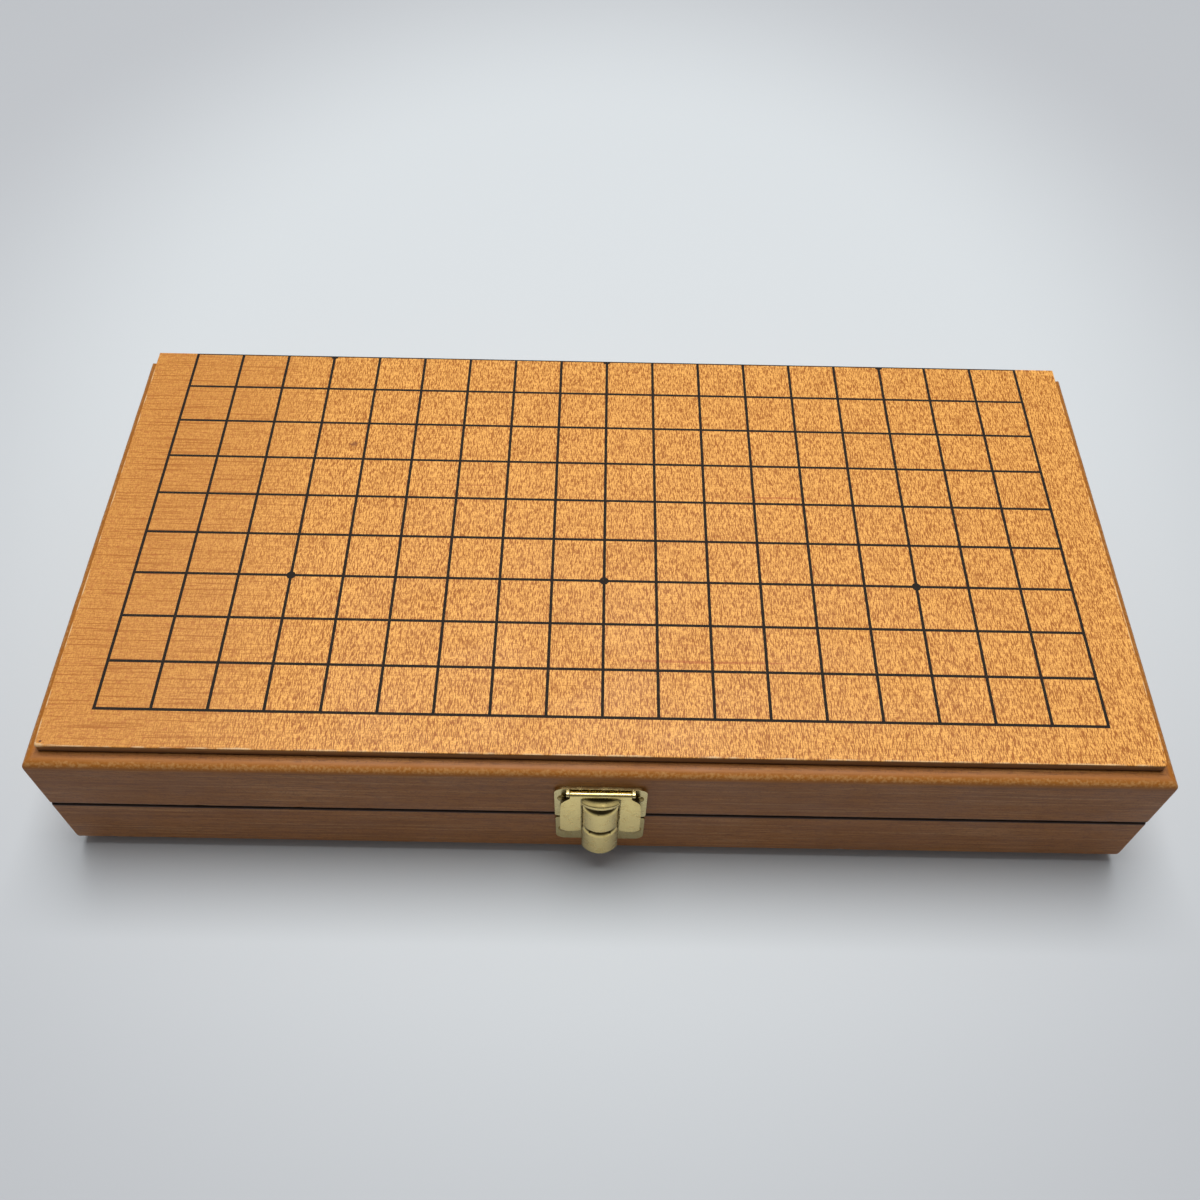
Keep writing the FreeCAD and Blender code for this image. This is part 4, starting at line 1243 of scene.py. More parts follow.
@dataclass
class MitredFrame:
    """The four mitred rails of one half, their edges rounded by hand.

    Waves and dents are how many of them a millimetre holds, along a rail and up it. The painted shade
    at the parting and the wear are how far they reach from a rounding, and how strong the wear on it
    is; on the quarter-round that wear also paints a highlight.
    """

    half: Half
    edge_round: float = 2.5
    corner_round: float = 0.8
    corner_turns: tuple[float, ...] = (45.0, 30.0, 15.0)
    parting_round: float = 0.45
    parting_back: float = 0.14
    shade_full: float = 0.6
    shade_reach: float = 1.4
    shade_up: float = 0.25
    sheen_and_wear_least: float = 0.2
    sheen_and_wear_gain: float = 1.6
    wear_down: float = 1.0
    wear_in: float = 0.5
    panel_rabbet: float = 2.0
    mitre_ease: float = 0.1
    rubbed_away: float = 0.05
    waves: tuple[float, float] = (0.12, 0.2)
    dents: tuple[float, float] = (0.7, 0.6)
    dent_level: float = 0.42
    dent_depth: float = 0.55
    mitre_wear_and_painted_light: float = 0.55
    grain_apart: float = 3.7
    station: float = 1.6
    window_corner: float = 0.3
    window_past: float = 5.0
    recess_depth: float = 1.0
    recess_past: float = 3.0
    relief_gap: float = 0.3
    relief_steps: int = 48

    def section(self) -> list[tuple[float, float, float, float, float]]:
        """A rail's section, from the parting face round its outside to its inside.

        Returns:
            Depth from the outer face, height, the way in (depth, height) and wear and painted light
            of each corner.
        """
        low, high = self.half.local("front_rail")
        panel_top = self.half.local("inner_panel")[1].z
        wide = high.y - low.y
        foot, top = low.z + self.parting_back, high.z
        small, large = self.parting_round, self.edge_round
        corners = [(wide - self.panel_rabbet, foot, 0, 0, 0.0)]
        # painted shade: wear under 0 on the parting round and the faces beside it, for the shade in
        # the crease between the halves
        corners.append((small + self.shade_reach, foot, 0, 0, 0.0))
        corners.append((small + self.shade_full, foot, 0, 0, -0.5))
        for dx, dz in arc(1.0, 270, 180, 4):
            spot = (small + small * dx, foot + small + small * dz)
            corners.append((*spot, -dx, -dz, -1.0))
        corners.append((0.0, foot + small + self.shade_up, 0, 0, 0.0))
        corners.append((0.0, top - large - self.wear_down, 0, 0, 0.0))
        # on the quarter-round the wear peaks where it faces 45 degrees up: rubbed wear, and a painted
        # highlight where it catches the light
        for dx, dz in arc(1.0, 180, 90, 7):
            wear_and_painted_light = self.sheen_and_wear_least + self.sheen_and_wear_gain * abs(dx * dz)
            corners.append((large + large * dx, top - large + large * dz, -dx, -dz, wear_and_painted_light))
        corners += [(large + self.wear_in, top, 0, 0, 0.0), (wide, top, 0, 0, 0.0)]
        corners += [(wide, panel_top, 0, 0, 0.0), (wide - self.panel_rabbet, panel_top, 0, 0, 0.0)]
        return corners

    def hand_rubbed(self, along: float, height: float, drift: float) -> float:
        """How far a rounded edge is rubbed away: a little everywhere, more in a few dents.

        Args:
            along: where along the rail.
            height: where on its face.
            drift: what sets this rail apart.

        Returns:
            The depth rubbed away there.
        """
        wave = noise.noise(Vector((along * self.waves[0], height * self.waves[1], drift)))
        dent = noise.noise(Vector((along * self.dents[0], height * self.dents[1], drift + 5)))
        even = self.rubbed_away
        return even + even * wave + self.dent_depth * max(0.0, dent - self.dent_level)

    def rail(self, side: Side) -> bpy.types.Object:
        """One rail, between its two mitres.

        Args:
            side: which rail.

        Returns:
            The rail.
        """
        low, high = self.half.local("front_rail")
        run, reach = high.x, -low.y
        if side.grain is Grain.ALONG_Y:
            run, reach = reach, run
        drift = side.drift(self.half)
        count = round(2 * run / self.station)
        stations = [(-1.0, turn) for turn in self.corner_turns]
        stations += [(2 * i / count - 1, 0.0) for i in range(count + 1)]
        stations += [(1.0, turn) for turn in reversed(self.corner_turns)]
        rings: list[Ring] = []
        for travel, turn in stations:
            ring: Ring = []
            bend = math.radians(turn)
            for depth, height, in_depth, in_height, wear_and_painted_light in self.section():
                rounding = max(self.corner_round - depth, LEAST_ROUND)
                along = travel * (run - depth - rounding)
                if turn:
                    end = run - depth - rounding + rounding * math.sin(bend)
                    along = math.copysign(end, travel)
                away = self.hand_rubbed(along, height, drift)
                deep = depth + rounding * (1 - math.cos(bend)) + in_depth * away
                spot = side.along * along + side.out * (reach - deep)
                edge = max(wear_and_painted_light, self.mitre_wear_and_painted_light) if turn and wear_and_painted_light >= 0 else wear_and_painted_light
                ring.append((spot + Vector((0, 0, height + in_height * away)), edge))
            rings.append(ring)
        shell = Shell()
        shell.skin(rings)
        name = f"{self.half.value}_{side.node}"
        shift = drift * self.grain_apart
        finish = VarnishedRail(f"varnished_{name}", grain=side.grain, shift=shift)
        return shell.piece(f"dressed_{name}", [finish], self.half.place)

    def window(self) -> bpy.types.Object:
        """What is cut from the window rail for the drawer to pass.

        Returns:
            The shape of the window.
        """
        low, high = self.half.local("window_rail")
        y_low = self.half.local("front_guide")[1].y
        y_high = self.half.local("rear_guide")[0].y
        drawer_low, drawer_high = self.half.local("drawer_front")
        foot = self.half.local("inner_panel")[1].z
        gap = drawer_low.z - foot
        radii = (self.window_corner,) * 4
        outline = cornered(y_low, y_high, foot, drawer_high.z + gap, radii)
        past = self.window_past
        cutter = Shell()
        cutter.slice(outline, low.x - past, high.x + past, upright)
        return cutter.piece("window_cutter", place=self.half.place)

    def hinge_recesses(self) -> list[bpy.types.Object]:
        """What is cut from the rear rail for the hinges' leaves and knuckles.

        Returns:
            The shapes of the recesses.
        """
        cutters = []
        for side in ("left", "right"):
            pin_low, pin_high = boxed(f"{side}_hinge_pin")
            leaf_low, leaf_high = boxed(f"{side}_hinge_{self.half.value}_leaf")
            recess = Shell()
            low, high = sorted((self.half.rise(-1.0), self.half.rise(self.recess_depth)))
            y_high = leaf_high.y + self.recess_past
            outline = cornered(pin_low.x, pin_high.x, leaf_low.y, y_high, (0.05,) * 4)
            recess.slice(outline, low, high, lambda s: s)
            cutters.append(recess.piece(f"{side}_recess_cutter"))
            relief = Shell()
            gap = self.relief_gap
            centre = (pin_low + pin_high) / 2
            radius = (leaf_high.y - centre.y) + gap
            foot = Vector((pin_low.x - gap, centre.y, centre.z))
            profile = [(radius, 0.0), (radius, pin_high.x - pin_low.x + 2 * gap)]
            relief.turned(profile, foot, ALONG_CASE, steps=self.relief_steps)
            cutters.append(relief.piece(f"{side}_relief_cutter"))
        return cutters

    def build(self) -> None:
        """Make the four rails."""
        for side in Side:
            rail = self.rail(side)
            if side is Side.WINDOW:
                carve(rail, [self.window()])
            if side is Side.REAR:
                carve(rail, self.hinge_recesses())
            soften(rail, self.mitre_ease)
            settle(rail, self.half.body, "rail_wood", f"{self.half.value}_{side.node}")


# ---- inside of the case and drawers ----------------------------------------------------------


@dataclass
class Interior:
    """The boards inside one half: panel, backing, guides and drawer stop."""

    half: Half
    ease: float = 0.2

    def build(self) -> None:
        """Make each board where its node is."""
        veneer = KatsuraVeneer(
            f"inner_panel_veneer_{self.half.value}", light="#E9B77C", dark="#CB9155", shift=13.0
        )
        guide = BareWood("bare_guide", shift=5.0)
        boards = (
            ("inner_panel", "panel_plywood", veneer, self.ease),
            ("backing_panel", "panel_plywood", BareWood("bare_backing", shift=2.0), self.ease),
            ("front_guide", "guide_wood", guide, self.ease),
            ("rear_guide", "guide_wood", guide, self.ease),
            ("drawer_stop", "guide_wood", guide, self.ease),
        )
        plain_boards(self.half, self.half.body, boards)


@dataclass
class StoneDrawer:
    """A drawer that slides out of a half's end: front, two sides, back and floor."""

    half: Half
    finger_radius: float = 7.0
    finger_past: float = 2.0
    finger_steps: int = 64
    front_ease: float = 0.5
    side_ease: float = 0.45
    floor_ease: float = 0.1
    grain_apart: float = 31.0

    def front(self) -> None:
        """The front, with the half-round finger notch in its top edge."""
        low, high = self.half.local("drawer_front")
        name = f"{self.half.value}_drawer_front"
        shift = self.grain_apart * self.half.facing
        finish = VarnishedRail(f"varnished_{name}", grain=Grain.ALONG_Y, shift=shift)
        shell = Shell()
        shell.board(low, high, self.front_ease, spacing=6.0)
        front = shell.piece(f"dressed_{name}", [finish], self.half.place)
        notch = Shell()
        foot = Vector((low.x - self.finger_past, 0, high.z))
        length = high.x - low.x + 2 * self.finger_past
        profile = [(self.finger_radius, 0.0), (self.finger_radius, length)]
        notch.turned(profile, foot, ALONG_CASE, steps=self.finger_steps)
        carve(front, [notch.piece("notch_cutter", place=self.half.place)])
        soften(front, self.front_ease, 3)
        settle(front, self.half.drawer, "drawer_front_wood", name)

    def build(self) -> None:
        """Make the drawer's pieces."""
        self.front()
        along = BareWood("bare_drawer_side")
        across = BareWood("bare_drawer_back", grain=Grain.ALONG_Y, shift=9.0)
        floor = BareWood("plywood_drawer_floor", base="#DDC296", dark="#C9A772", shift=21.0)
        boards = (
            ("drawer_side_front", "drawer_wood", along, self.side_ease),
            ("drawer_side_rear", "drawer_wood", along, self.side_ease),
            ("drawer_back", "drawer_wood", across, self.side_ease),
            ("drawer_floor", "drawer_floor_plywood", floor, self.floor_ease),
        )
        plain_boards(self.half, self.half.drawer, boards)


# ---- hinges ----------------------------------------------------------------------------------


@dataclass
class ButtHinge:
    """A brass butt hinge let into both rear rails."""

    side: str
    knuckles: int = 5
    upper_knuckles: tuple[int, ...] = (1, 3)
    knuckle_radius: float = 1.9
    knuckle_ease: float = 0.2
    knuckle_gap: float = 0.1
    bore: float = 0.95
    leaf_thick: float = 0.8
    leaf_ease: float = 0.12
    tongue_ease: float = 0.1
    leaf_back: float = 0.2
    relief: float = 0.3
    screw_pitch: float = 10.0
    screw_reach: float = 4.7
    screw_radius: float = 1.6
    screw_gap: float = 0.12
    hole_radius: float = 1.0
    hole_deep: float = 1.0
    slot_wide: float = 0.4
    pin_ends: tuple[tuple[float, float], ...] = ((0.35, 0.0), (0.8, 0.08), (1.0, 0.3))
    brass: PlatedBrass = PlatedBrass("hinge_brass_plate", base="#EBD08A", roughness=0.26)

    @property
    def span(self) -> tuple[Vector, Vector]:
        """The pin's lowest and highest corner."""
        return boxed(f"{self.side}_hinge_pin")

    @property
    def axis(self) -> Vector:
        """The middle of the pin."""
        return (self.span[0] + self.span[1]) / 2

    @property
    def leaf_edge(self) -> float:
        """How far back a leaf reaches."""
        return self.axis.y - self.knuckle_radius - self.relief

    def leaf_heights(self, half: Half) -> list[float]:
        """The lower and the upper face of a half's leaf."""
        return sorted((half.rise(self.leaf_back), half.rise(self.leaf_back + self.leaf_thick)))

    def leaf(self, half: Half) -> None:
        """One leaf, with its countersunk holes.

        Args:
            half: the half that it is let into.
        """
        node = f"{self.side}_hinge_{half.value}_leaf"
        pin_low, pin_high = self.span
        z_low, z_high = self.leaf_heights(half)
        low = Vector((pin_low.x, boxed(node)[0].y, z_low))
        plate = Shell()
        plate.board(low, Vector((pin_high.x, self.leaf_edge, z_high)), self.leaf_ease)
        leaf = plate.piece(f"dressed_{node}", [self.brass])
        holes = Shell()
        wide, deep = self.screw_radius + self.screw_gap, self.leaf_back
        for spot in self.screw_spots():
            profile = [(wide, 0.0), (wide, deep), (self.hole_radius, deep + self.hole_deep)]
            holes.turned(profile, Vector((spot.x, spot.y, PARTING)), Vector((0, 0, half.facing)))
        carve(leaf, [holes.piece("countersink_cutter")])
        settle(leaf, half.body, "hinge_brass", node)

    def own_knuckles(self, half: Half) -> None:
        """The knuckles of one leaf, and the tongues that they are rolled from.

        Args:
            half: the half that the leaf is let into.
        """
        node = f"{self.side}_hinge_{half.value}_leaf"
        pin_low, pin_high = self.span
        axis = self.axis
        z_low, z_high = self.leaf_heights(half)
        pitch = (pin_high.x - pin_low.x) / self.knuckles
        radius, ease = self.knuckle_radius, self.knuckle_ease
        upper = half is Half.UPPER
        tubes = Shell()
        for index in range(self.knuckles):
            if (index in self.upper_knuckles) != upper:
                continue
            start = pin_low.x + index * pitch + self.knuckle_gap / 2
            end = start + pitch - self.knuckle_gap
            low = Vector((start, self.leaf_edge - self.relief, z_low))
            tubes.board(low, Vector((end, axis.y, z_high)), self.tongue_ease, spacing=4.0)
            profile = [(self.bore, 0.0), (radius - ease, 0.0), (radius, ease)]
            profile += [(radius, end - start - ease), (radius - ease, end - start)]
            profile += [(self.bore, end - start)]
            tubes.turned(profile, Vector((start, axis.y, axis.z)), ALONG_CASE, looped=True)
        knuckles = tubes.piece(f"{self.side}_hinge_{half.value}_knuckles", [self.brass])
        settle(knuckles, half.body, "hinge_brass", node)

    def screw_spots(self) -> list[Vector]:
        """Where a leaf's three screws stand.

        Returns:
            The middle of each, at the height of the pin.
        """
        places = (-self.screw_pitch, 0.0, self.screw_pitch)
        x_pin, y_pin, z_pin = self.axis
        return [Vector((x_pin + x, y_pin - self.screw_reach, z_pin)) for x in places]

    def build(self) -> None:
        """Make both leaves and the pin."""
        for half in Half:
            self.leaf(half)
            self.own_knuckles(half)
        steel_pin(f"{self.side}_hinge_pin", "lower_half", self.pin_ends)


@dataclass
class HingeScrews:
    """The slotted, countersunk screws of one half's leaves, as one piece."""

    half: Half
    hinges: Sequence[ButtHinge]
    sunk: float = 0.22
    head: float = 0.8
    shank: float = 0.9
    length: float = 3.0
    slot_foot: float = 0.62
    slot_past: float = 0.2
    turn_each: float = 37.0
    turn_first: float = 11.0

    def build(self) -> None:
        """Make the screws, each turned as far as it happened to go."""
        heads, slots = Shell(), Shell()
        half = self.half
        rise = Vector((0, 0, half.facing))
        places = [(hinge, spot) for hinge in self.hinges for spot in hinge.screw_spots()]
        for i, (hinge, spot) in enumerate(places):
            foot = Vector((spot.x, spot.y, half.rise(self.sunk)))
            radius = hinge.screw_radius
            # a worn rim, the cone under it, and the shank
            profile = [(radius - 0.15, 0.0), (radius, 0.08), (radius - 0.05, 0.15)]
            profile += [(self.shank, self.head), (self.shank, self.length)]
            heads.turned(profile, foot, rise)
            degrees = self.turn_each * i + self.turn_first * half.facing
            turn = Matrix.Rotation(math.radians(degrees), 3, "Z")
            reach, wide = radius + self.slot_past, hinge.slot_wide / 2
            outline = [(-reach, -wide), (reach, -wide), (reach, wide), (-reach, wide)]
            low, high = sorted((spot.z - half.facing, spot.z + half.facing * self.slot_foot))

            def turned(s: Vector) -> Vector:
                """The slot, turned with its screw and moved to it."""
                return turn @ Vector((s.x, s.y, 0)) + Vector((spot.x, spot.y, s.z))

            slots.slice(outline, low, high, turned)
        name = f"{half.value}_hinge_screws"
        brass = PlatedBrass("screw_brass_plate", base="#E0C580", roughness=0.3)
        screws = heads.piece(f"dressed_{name}", [brass])
        carve(screws, [slots.piece("slot_cutter")])
        settle(screws, half.body, "screw_brass", name)


# ---- latch -----------------------------------------------------------------------------------

LATCH_FACE = -boxed("upper_front_rail")[0].y

# The pressing of the hasp's tongue, from its top down: height over the parting plane, how far out
# its middle is, and how much of the full bow it has there.
TONGUE_STOPS = (
    (15.4, 2.35, 0.0),
    (15.0, 2.45, 0.05),
    (14.6, 2.75, 0.15),
    (14.3, 3.2, 0.25),
    (14.0, 3.95, 0.4),
    (13.72, 4.72, 0.48),
    (13.56, 4.88, 0.5),
    (13.3, 4.9, 0.55),
    (12.6, 4.9, 0.6),
    (12.1, 4.8, 0.65),
    (11.75, 4.4, 0.75),
    (11.4, 3.85, 0.9),
    (10.7, 3.7, 1.0),
    (10.1, 3.9, 1.0),
    (8.8, 4.72, 1.0),
    (8.45, 4.9, 1.0),
    (-1.4, 4.9, 1.0),
    (-1.7, 4.65, 1.0),
    (-2.0, 4.1, 1.0),
    (-2.5, 3.95, 1.0),
    (-3.0, 4.1, 1.0),
    (-4.15, 4.75, 1.0),
    (-4.5, 4.9, 1.0),
    (-17.0, 4.9, 1.0),
)


def at_latch(spot: Vector) -> Vector:
    """Latch frame to the case's: x along it, y out of its front face, z from the parting."""
    return Vector((spot.x, -LATCH_FACE - spot.y, PARTING + spot.z))


def standing(spot: Vector) -> Vector:
    """A sheet drawn in x and z, raised outwards."""
    return Vector((spot.x, spot.z, spot.y))


def bisect(edit: bmesh.types.BMesh, at: tuple[float, ...], across: tuple[float, ...]) -> None:
    """Cut a sheet's faces along a line.

    Args:
        edit: the sheet.
        at: a spot on the line.
        across: the way across the line.
    """
    everything = edit.verts[:] + edit.edges[:] + edit.faces[:]
    bmesh.ops.bisect_plane(edit, geom=everything, plane_co=at, plane_no=across)


@dataclass
class SprungLatch:
    """The brass latch: a plate with lugs, a keeper, and a sprung hasp with its bowed tongue."""

    # the plate, the keeper with its lip, and their nails
    sheet: float = 0.9
    rim: float = 0.3
    sharp: float = 0.02
    parting_corner: float = 1.0
    plate_wide: float = 24.6
    plate_foot: float = 0.45
    plate_top: float = 16.4
    plate_corner: float = 2.2
    keeper_wide: float = 24.4
    keeper_foot: float = -14.0
    keeper_corner: float = 2.6
    lip_wide: float = 3.6
    lip_low: float = 3.0
    lip_thick: float = 0.8
    lip_reach: float = 1.9
    lip_corner: float = 0.1
    nail_head: tuple[tuple[float, float], ...] = (
        (0.25, 0.0), (0.6, 0.1), (0.86, 0.35), (0.98, 0.7), (1.0, 1.0)
    )
    nail_shank: float = 0.6
    # the pin, and the lugs that hold it
    pin_out: float = 1.9
    pin_high: float = 15.5
    pin_radius: float = 0.35
    pin_ends: tuple[tuple[float, float], ...] = ((0.4, 0.0), (0.85, 0.06), (1.0, 0.2))
    lug_inner: float = 8.25
    lug_thick: float = 0.8
    lug_round: float = 0.7
    # the hasp's sheet, its curl round the pin, and the painted shade over the curl's back
    hasp_sheet: float = 0.5
    hasp_back: float = 2.3
    hasp_rim: float = 0.2
    curl_radius: float = 0.9
    curl_turn: float = 200.0
    curl_strips: int = 18
    curl_soil: float = 0.35
    curl_shade_from: float = 62.0
    curl_shade_over: float = 15.0
    # its outline from the crown down to the ears, and the slot round the tongue
    crown_wide: float = 16.2
    waist_wide: float = 20.6
    waist_high: float = 12.6
    ear_wide: float = 21.6
    ear_shoulder: float = 6.0
    ear_low: float = -4.6
    ear_corner: float = 1.2
    ear_swell: float = 0.3
    ear_swell_from: float = 8.0
    ear_strips: int = 7
    ear_rows: int = 14
    ear_row: float = 1.5
    slot_wide: float = 10.6
    slot_high: float = 14.9
    slot_corner: float = 0.4
    # the tongue, where its grooves run out, and where shade is painted in the grooves and over its
    # top
    tongue_wide: float = 10.0
    tongue_bow: float = 6.2
    tongue_front: float = 4.9
    tongue_wall: float = 0.7
    tongue_top: float = 15.4
    tongue_head: float = 12.3
    tongue_low: float = -15.4
    groove_ends: float = 0.25
    groove_run_out: float = 3.5
    groove_shade_from: float = 0.12
    groove_shade_over: float = 0.45
    head_shade_from: float = 13.95
    head_shade_over: float = 0.4
    tongue_columns: int = 28
    tongue_rows: int = 170
    # the tongue's cheeks, and the catch between them
    cheek_thick: float = 0.8
    cheek_back: float = 1.25
    cheek_front: float = 2.3
    cheek_top: float = 13.0
    catch_wide: float = 6.0
    catch_thick: float = 0.8
    catch_back: float = 2.95
    catch_front: float = 4.0
    catch_gap: float = 0.3
    # the spring round the pin
    spring_turns: int = 4
    spring_steps: int = 24
    spring_wire: float = 0.12
    spring_pitch: float = 0.2
    spring_gap: float = 0.05
    spring_leg: tuple[Size, ...] = ((0.0, 0.0, -1.5), (0.0, -0.1, -4.6))
    # its finishes: bright on the hasp, where it is handled; darker copies on the plate and keeper, as
    # painted shade; and a dark copy on the cheeks, as painted shade in the slot
    brass: PlatedBrass = PlatedBrass("latch_brass_plate")
    shaded_plate_brass: PlatedBrass = PlatedBrass("shaded_plate_brass_plate", base="#D8C68C", tarnish="#B8A060")
    shaded_keeper_brass: PlatedBrass = PlatedBrass("shaded_keeper_brass_plate", base="#BEAB72", tarnish="#9E884E")
    shade_brass: PlatedBrass = PlatedBrass(
        "painted_shade_brass_plate", base="#5A4A28", tarnish="#2E2312", roughness=0.35
    )
    nail_brass: PlatedBrass = PlatedBrass(
        "nail_brass_plate", base="#A8925A", tarnish="#7C6838", roughness=0.28
    )

    def plate(self) -> None:
        """The latch plate with its two lugs."""
        wide, small = self.plate_wide / 2, self.parting_corner
        radii = (self.plate_corner, self.plate_corner, small, small)
        plate = Shell()
        outline = cornered(-wide, wide, self.plate_foot, self.plate_top, radii)
        plate.slice(outline, 0.0, self.sheet, standing)
        low, high = self.pin_high - self.lug_round, self.pin_high + self.lug_round
        end, full = self.pin_out + self.lug_round, self.lug_round - self.sharp
        lug = cornered(self.sheet / 2, end, low, high, (full, self.sharp, self.sharp, full))
        for start in (self.lug_inner, -self.lug_inner - self.lug_thick):
            plate.slice(lug, start, start + self.lug_thick, upright)
        # the plate's brass is a darker copy of the hasp's: painted shade
        made = plate.piece("dressed_latch_plate", [self.shaded_plate_brass], at_latch)
        soften(made, self.rim, 3)
        settle(made, "upper_half", "latch_brass", "latch_plate")

    def keeper(self) -> None:
        """The keeper with the lip that the hasp's catch hooks under."""
        wide, small = self.keeper_wide / 2, self.parting_corner
        radii = (small, small, self.keeper_corner, self.keeper_corner)
        keeper = Shell()
        outline = cornered(-wide, wide, self.keeper_foot, -self.plate_foot, radii)
        keeper.slice(outline, 0.0, self.sheet, standing)
        lip, low = self.lip_wide / 2, -self.lip_low
        outline = cornered(-lip, lip, low, low + self.lip_thick, (self.lip_corner,) * 4)
        keeper.slice(outline, self.sheet / 2, self.sheet + self.lip_reach, standing)
        # the keeper's brass is a darker copy still: painted shade low on the front
        made = keeper.piece("dressed_keeper_plate", [self.shaded_keeper_brass], at_latch)
        soften(made, self.rim, 3)
        settle(made, "lower_half", "latch_brass", "keeper_plate")

    def nails(self, half: Half) -> None:
        """Two round-headed nails through one half's plate.

        Args:
            half: the half that they are driven into.
        """
        node = f"{half.value}_latch_nails"
        low, high = boxed(node)
        radius = (high.z - low.z) / 2
        deep = -LATCH_FACE - self.sheet - low.y
        profile = [(wide * radius, down * deep) for wide, down in self.nail_head]
        profile += [(self.nail_shank, deep + 0.02), (self.nail_shank, high.y - low.y)]
        shell = Shell()
        for x in (low.x + radius, high.x - radius):
            foot = Vector((x, low.y, (low.z + high.z) / 2))
            shell.turned(profile, foot, Vector((0, 1, 0)))
        nails = shell.piece(f"dressed_{node}", [self.nail_brass])
        settle(nails, half.body, "nail_brass", node)

    def hasp_outline(self) -> list[tuple[float, float]]:
        """The flat hasp sheet: crown, shoulders, ears, and the slot round the tongue.

        Returns:
            x and travel of each corner. Travel is height, and goes on round the curl.
        """
        crown, waist, ear = self.crown_wide / 2, self.waist_wide / 2, self.ear_wide / 2
        slot, corner, inner = self.slot_wide / 2, self.ear_corner, self.slot_corner
        # small steps beside the shoulder and the waist stand for their tight radii
        curled = (self.curl_radius - self.hasp_sheet / 2) * math.radians(self.curl_turn)
        shoulder = self.pin_high - self.lug_round - 0.3
        right = [(crown, self.pin_high + curled), (crown, shoulder + 0.25)]
        right += [(crown + 0.3, shoulder - 0.1), (waist - 0.7, self.waist_high + 0.55)]
        right += [(waist, self.waist_high - 0.5), (waist + 0.25, self.waist_high - 2.0)]
        right += [(ear - 0.1, self.ear_shoulder + 0.7), (ear, self.ear_shoulder - 0.8)]
        for dx, dy in arc(corner, 0, -90, 5):
            right.append((ear - corner + dx, self.ear_low + corner + dy))
        for dx, dy in arc(inner, -90, -180, 3):
            right.append((slot + inner + dx, self.ear_low + inner + dy))
        for dx, dy in arc(inner, 0, 90, 3):
            right.append((slot - inner + dx, self.slot_high - inner + dy))
        return right + [(-x, y) for x, y in reversed(right)]

    def bent(self, spot: Vector) -> Vector:
        """Bend the hasp sheet: swelled ears, and the curl round the pin.

        Args:
            spot: a spot of the flat sheet, x and travel.

        Returns:
            Where it lies in the latch frame.
        """
        middle = self.hasp_back + self.hasp_sheet / 2
        radius = middle - self.pin_out
        beyond = spot.y - self.pin_high
        if beyond <= 0:
            ear = max(0.0, abs(spot.x) - self.slot_wide / 2)
            across = min(1.0, ear / (self.ear_wide / 2 - self.slot_wide / 2))
            swell = self.ear_swell * math.sin(math.pi * across)
            low = between(0.0, (self.slot_high - spot.y) / self.ear_swell_from, 1.0)
            return Vector((spot.x, middle + swell * low, spot.y))
        turn = beyond / radius
        out, rise = radius * math.cos(turn), radius * math.sin(turn)
        return Vector((spot.x, self.pin_out + out, self.pin_high + rise))

    def hasp_sheet_mesh(self) -> bpy.types.Mesh:
        """The hasp sheet's middle surface, cut into strips fine enough to bend.

        Returns:
            The mesh, with painted shade over the back of the curl.
        """
        edit = bmesh.new()
        outline = self.hasp_outline()
        edit.faces.new([edit.verts.new((x, y, 0)) for x, y in outline])
        top = max(y for _, y in outline)
        strips = self.curl_strips
        heights = [self.pin_high + (top - self.pin_high) * i / strips for i in range(strips)]
        heights += [self.ear_low + 1.0 + i * self.ear_row for i in range(self.ear_rows)]
        for height in heights:
            bisect(edit, (0, height, 0), (0, 1, 0))
        step = (self.ear_wide - self.slot_wide) / 2 / self.ear_strips
        for i in range(1, self.ear_strips):
            for sign in (-1, 1):
                bisect(edit, (sign * (self.slot_wide / 2 + i * step), 0, 0), (1, 0, 0))
        radius = self.hasp_back + self.hasp_sheet / 2 - self.pin_out
        # painted shade over the back of the curl, darkening as it turns away from the light
        shade_values = []
        for vertex in edit.verts:
            turn = math.degrees(max(0.0, vertex.co.y - self.pin_high) / radius)
            share = between(0.0, (turn - self.curl_shade_from) / self.curl_shade_over, 1.0)
            shade_values.append(-self.curl_soil * share)
            vertex.co = at_latch(self.bent(vertex.co)) * MM
        mesh = bpy.data.meshes.new("dressed_latch_hasp_sheet")
        edit.to_mesh(mesh)
        edit.free()
        note_wear_and_painted_light(mesh, shade_values)
        return mesh

    def tongue_surface(self, x: float, z: float) -> tuple[float, float]:
        """The tongue's front at a spot: bowed in plan, pressed in at its top and at two grooves.

        Args:
            x: how far the spot is from the middle.
            z: its height over the parting plane.

        Returns:
            How far out the front is, and its wear: below zero where shade is painted.
        """
        sag = self.tongue_bow - math.sqrt(self.tongue_bow * self.tongue_bow - x * x)
        for upper, lower in zip(TONGUE_STOPS, TONGUE_STOPS[1:]):
            if z >= lower[0]:
                share = (upper[0] - z) / (upper[0] - lower[0])
                out = upper[1] + (lower[1] - upper[1]) * share
                bowed = upper[2] + (lower[2] - upper[2]) * share
                break
        pressed = self.tongue_front - out
        aside = abs(x) / (self.tongue_wide / 2 - self.groove_ends)
        if z < self.tongue_head:
            # the grooves run out before the tongue's edges
            pressed *= max(0.0, 1 - aside**self.groove_run_out)
            soil = between(0.0, (pressed - self.groove_shade_from) / self.groove_shade_over, 1.0)
        else:
            soil = between(0.0, (z - self.head_shade_from) / self.head_shade_over, 1.0)
            soil *= max(0.0, 1 - aside**3)
        return self.tongue_front - pressed - bowed * sag, -soil

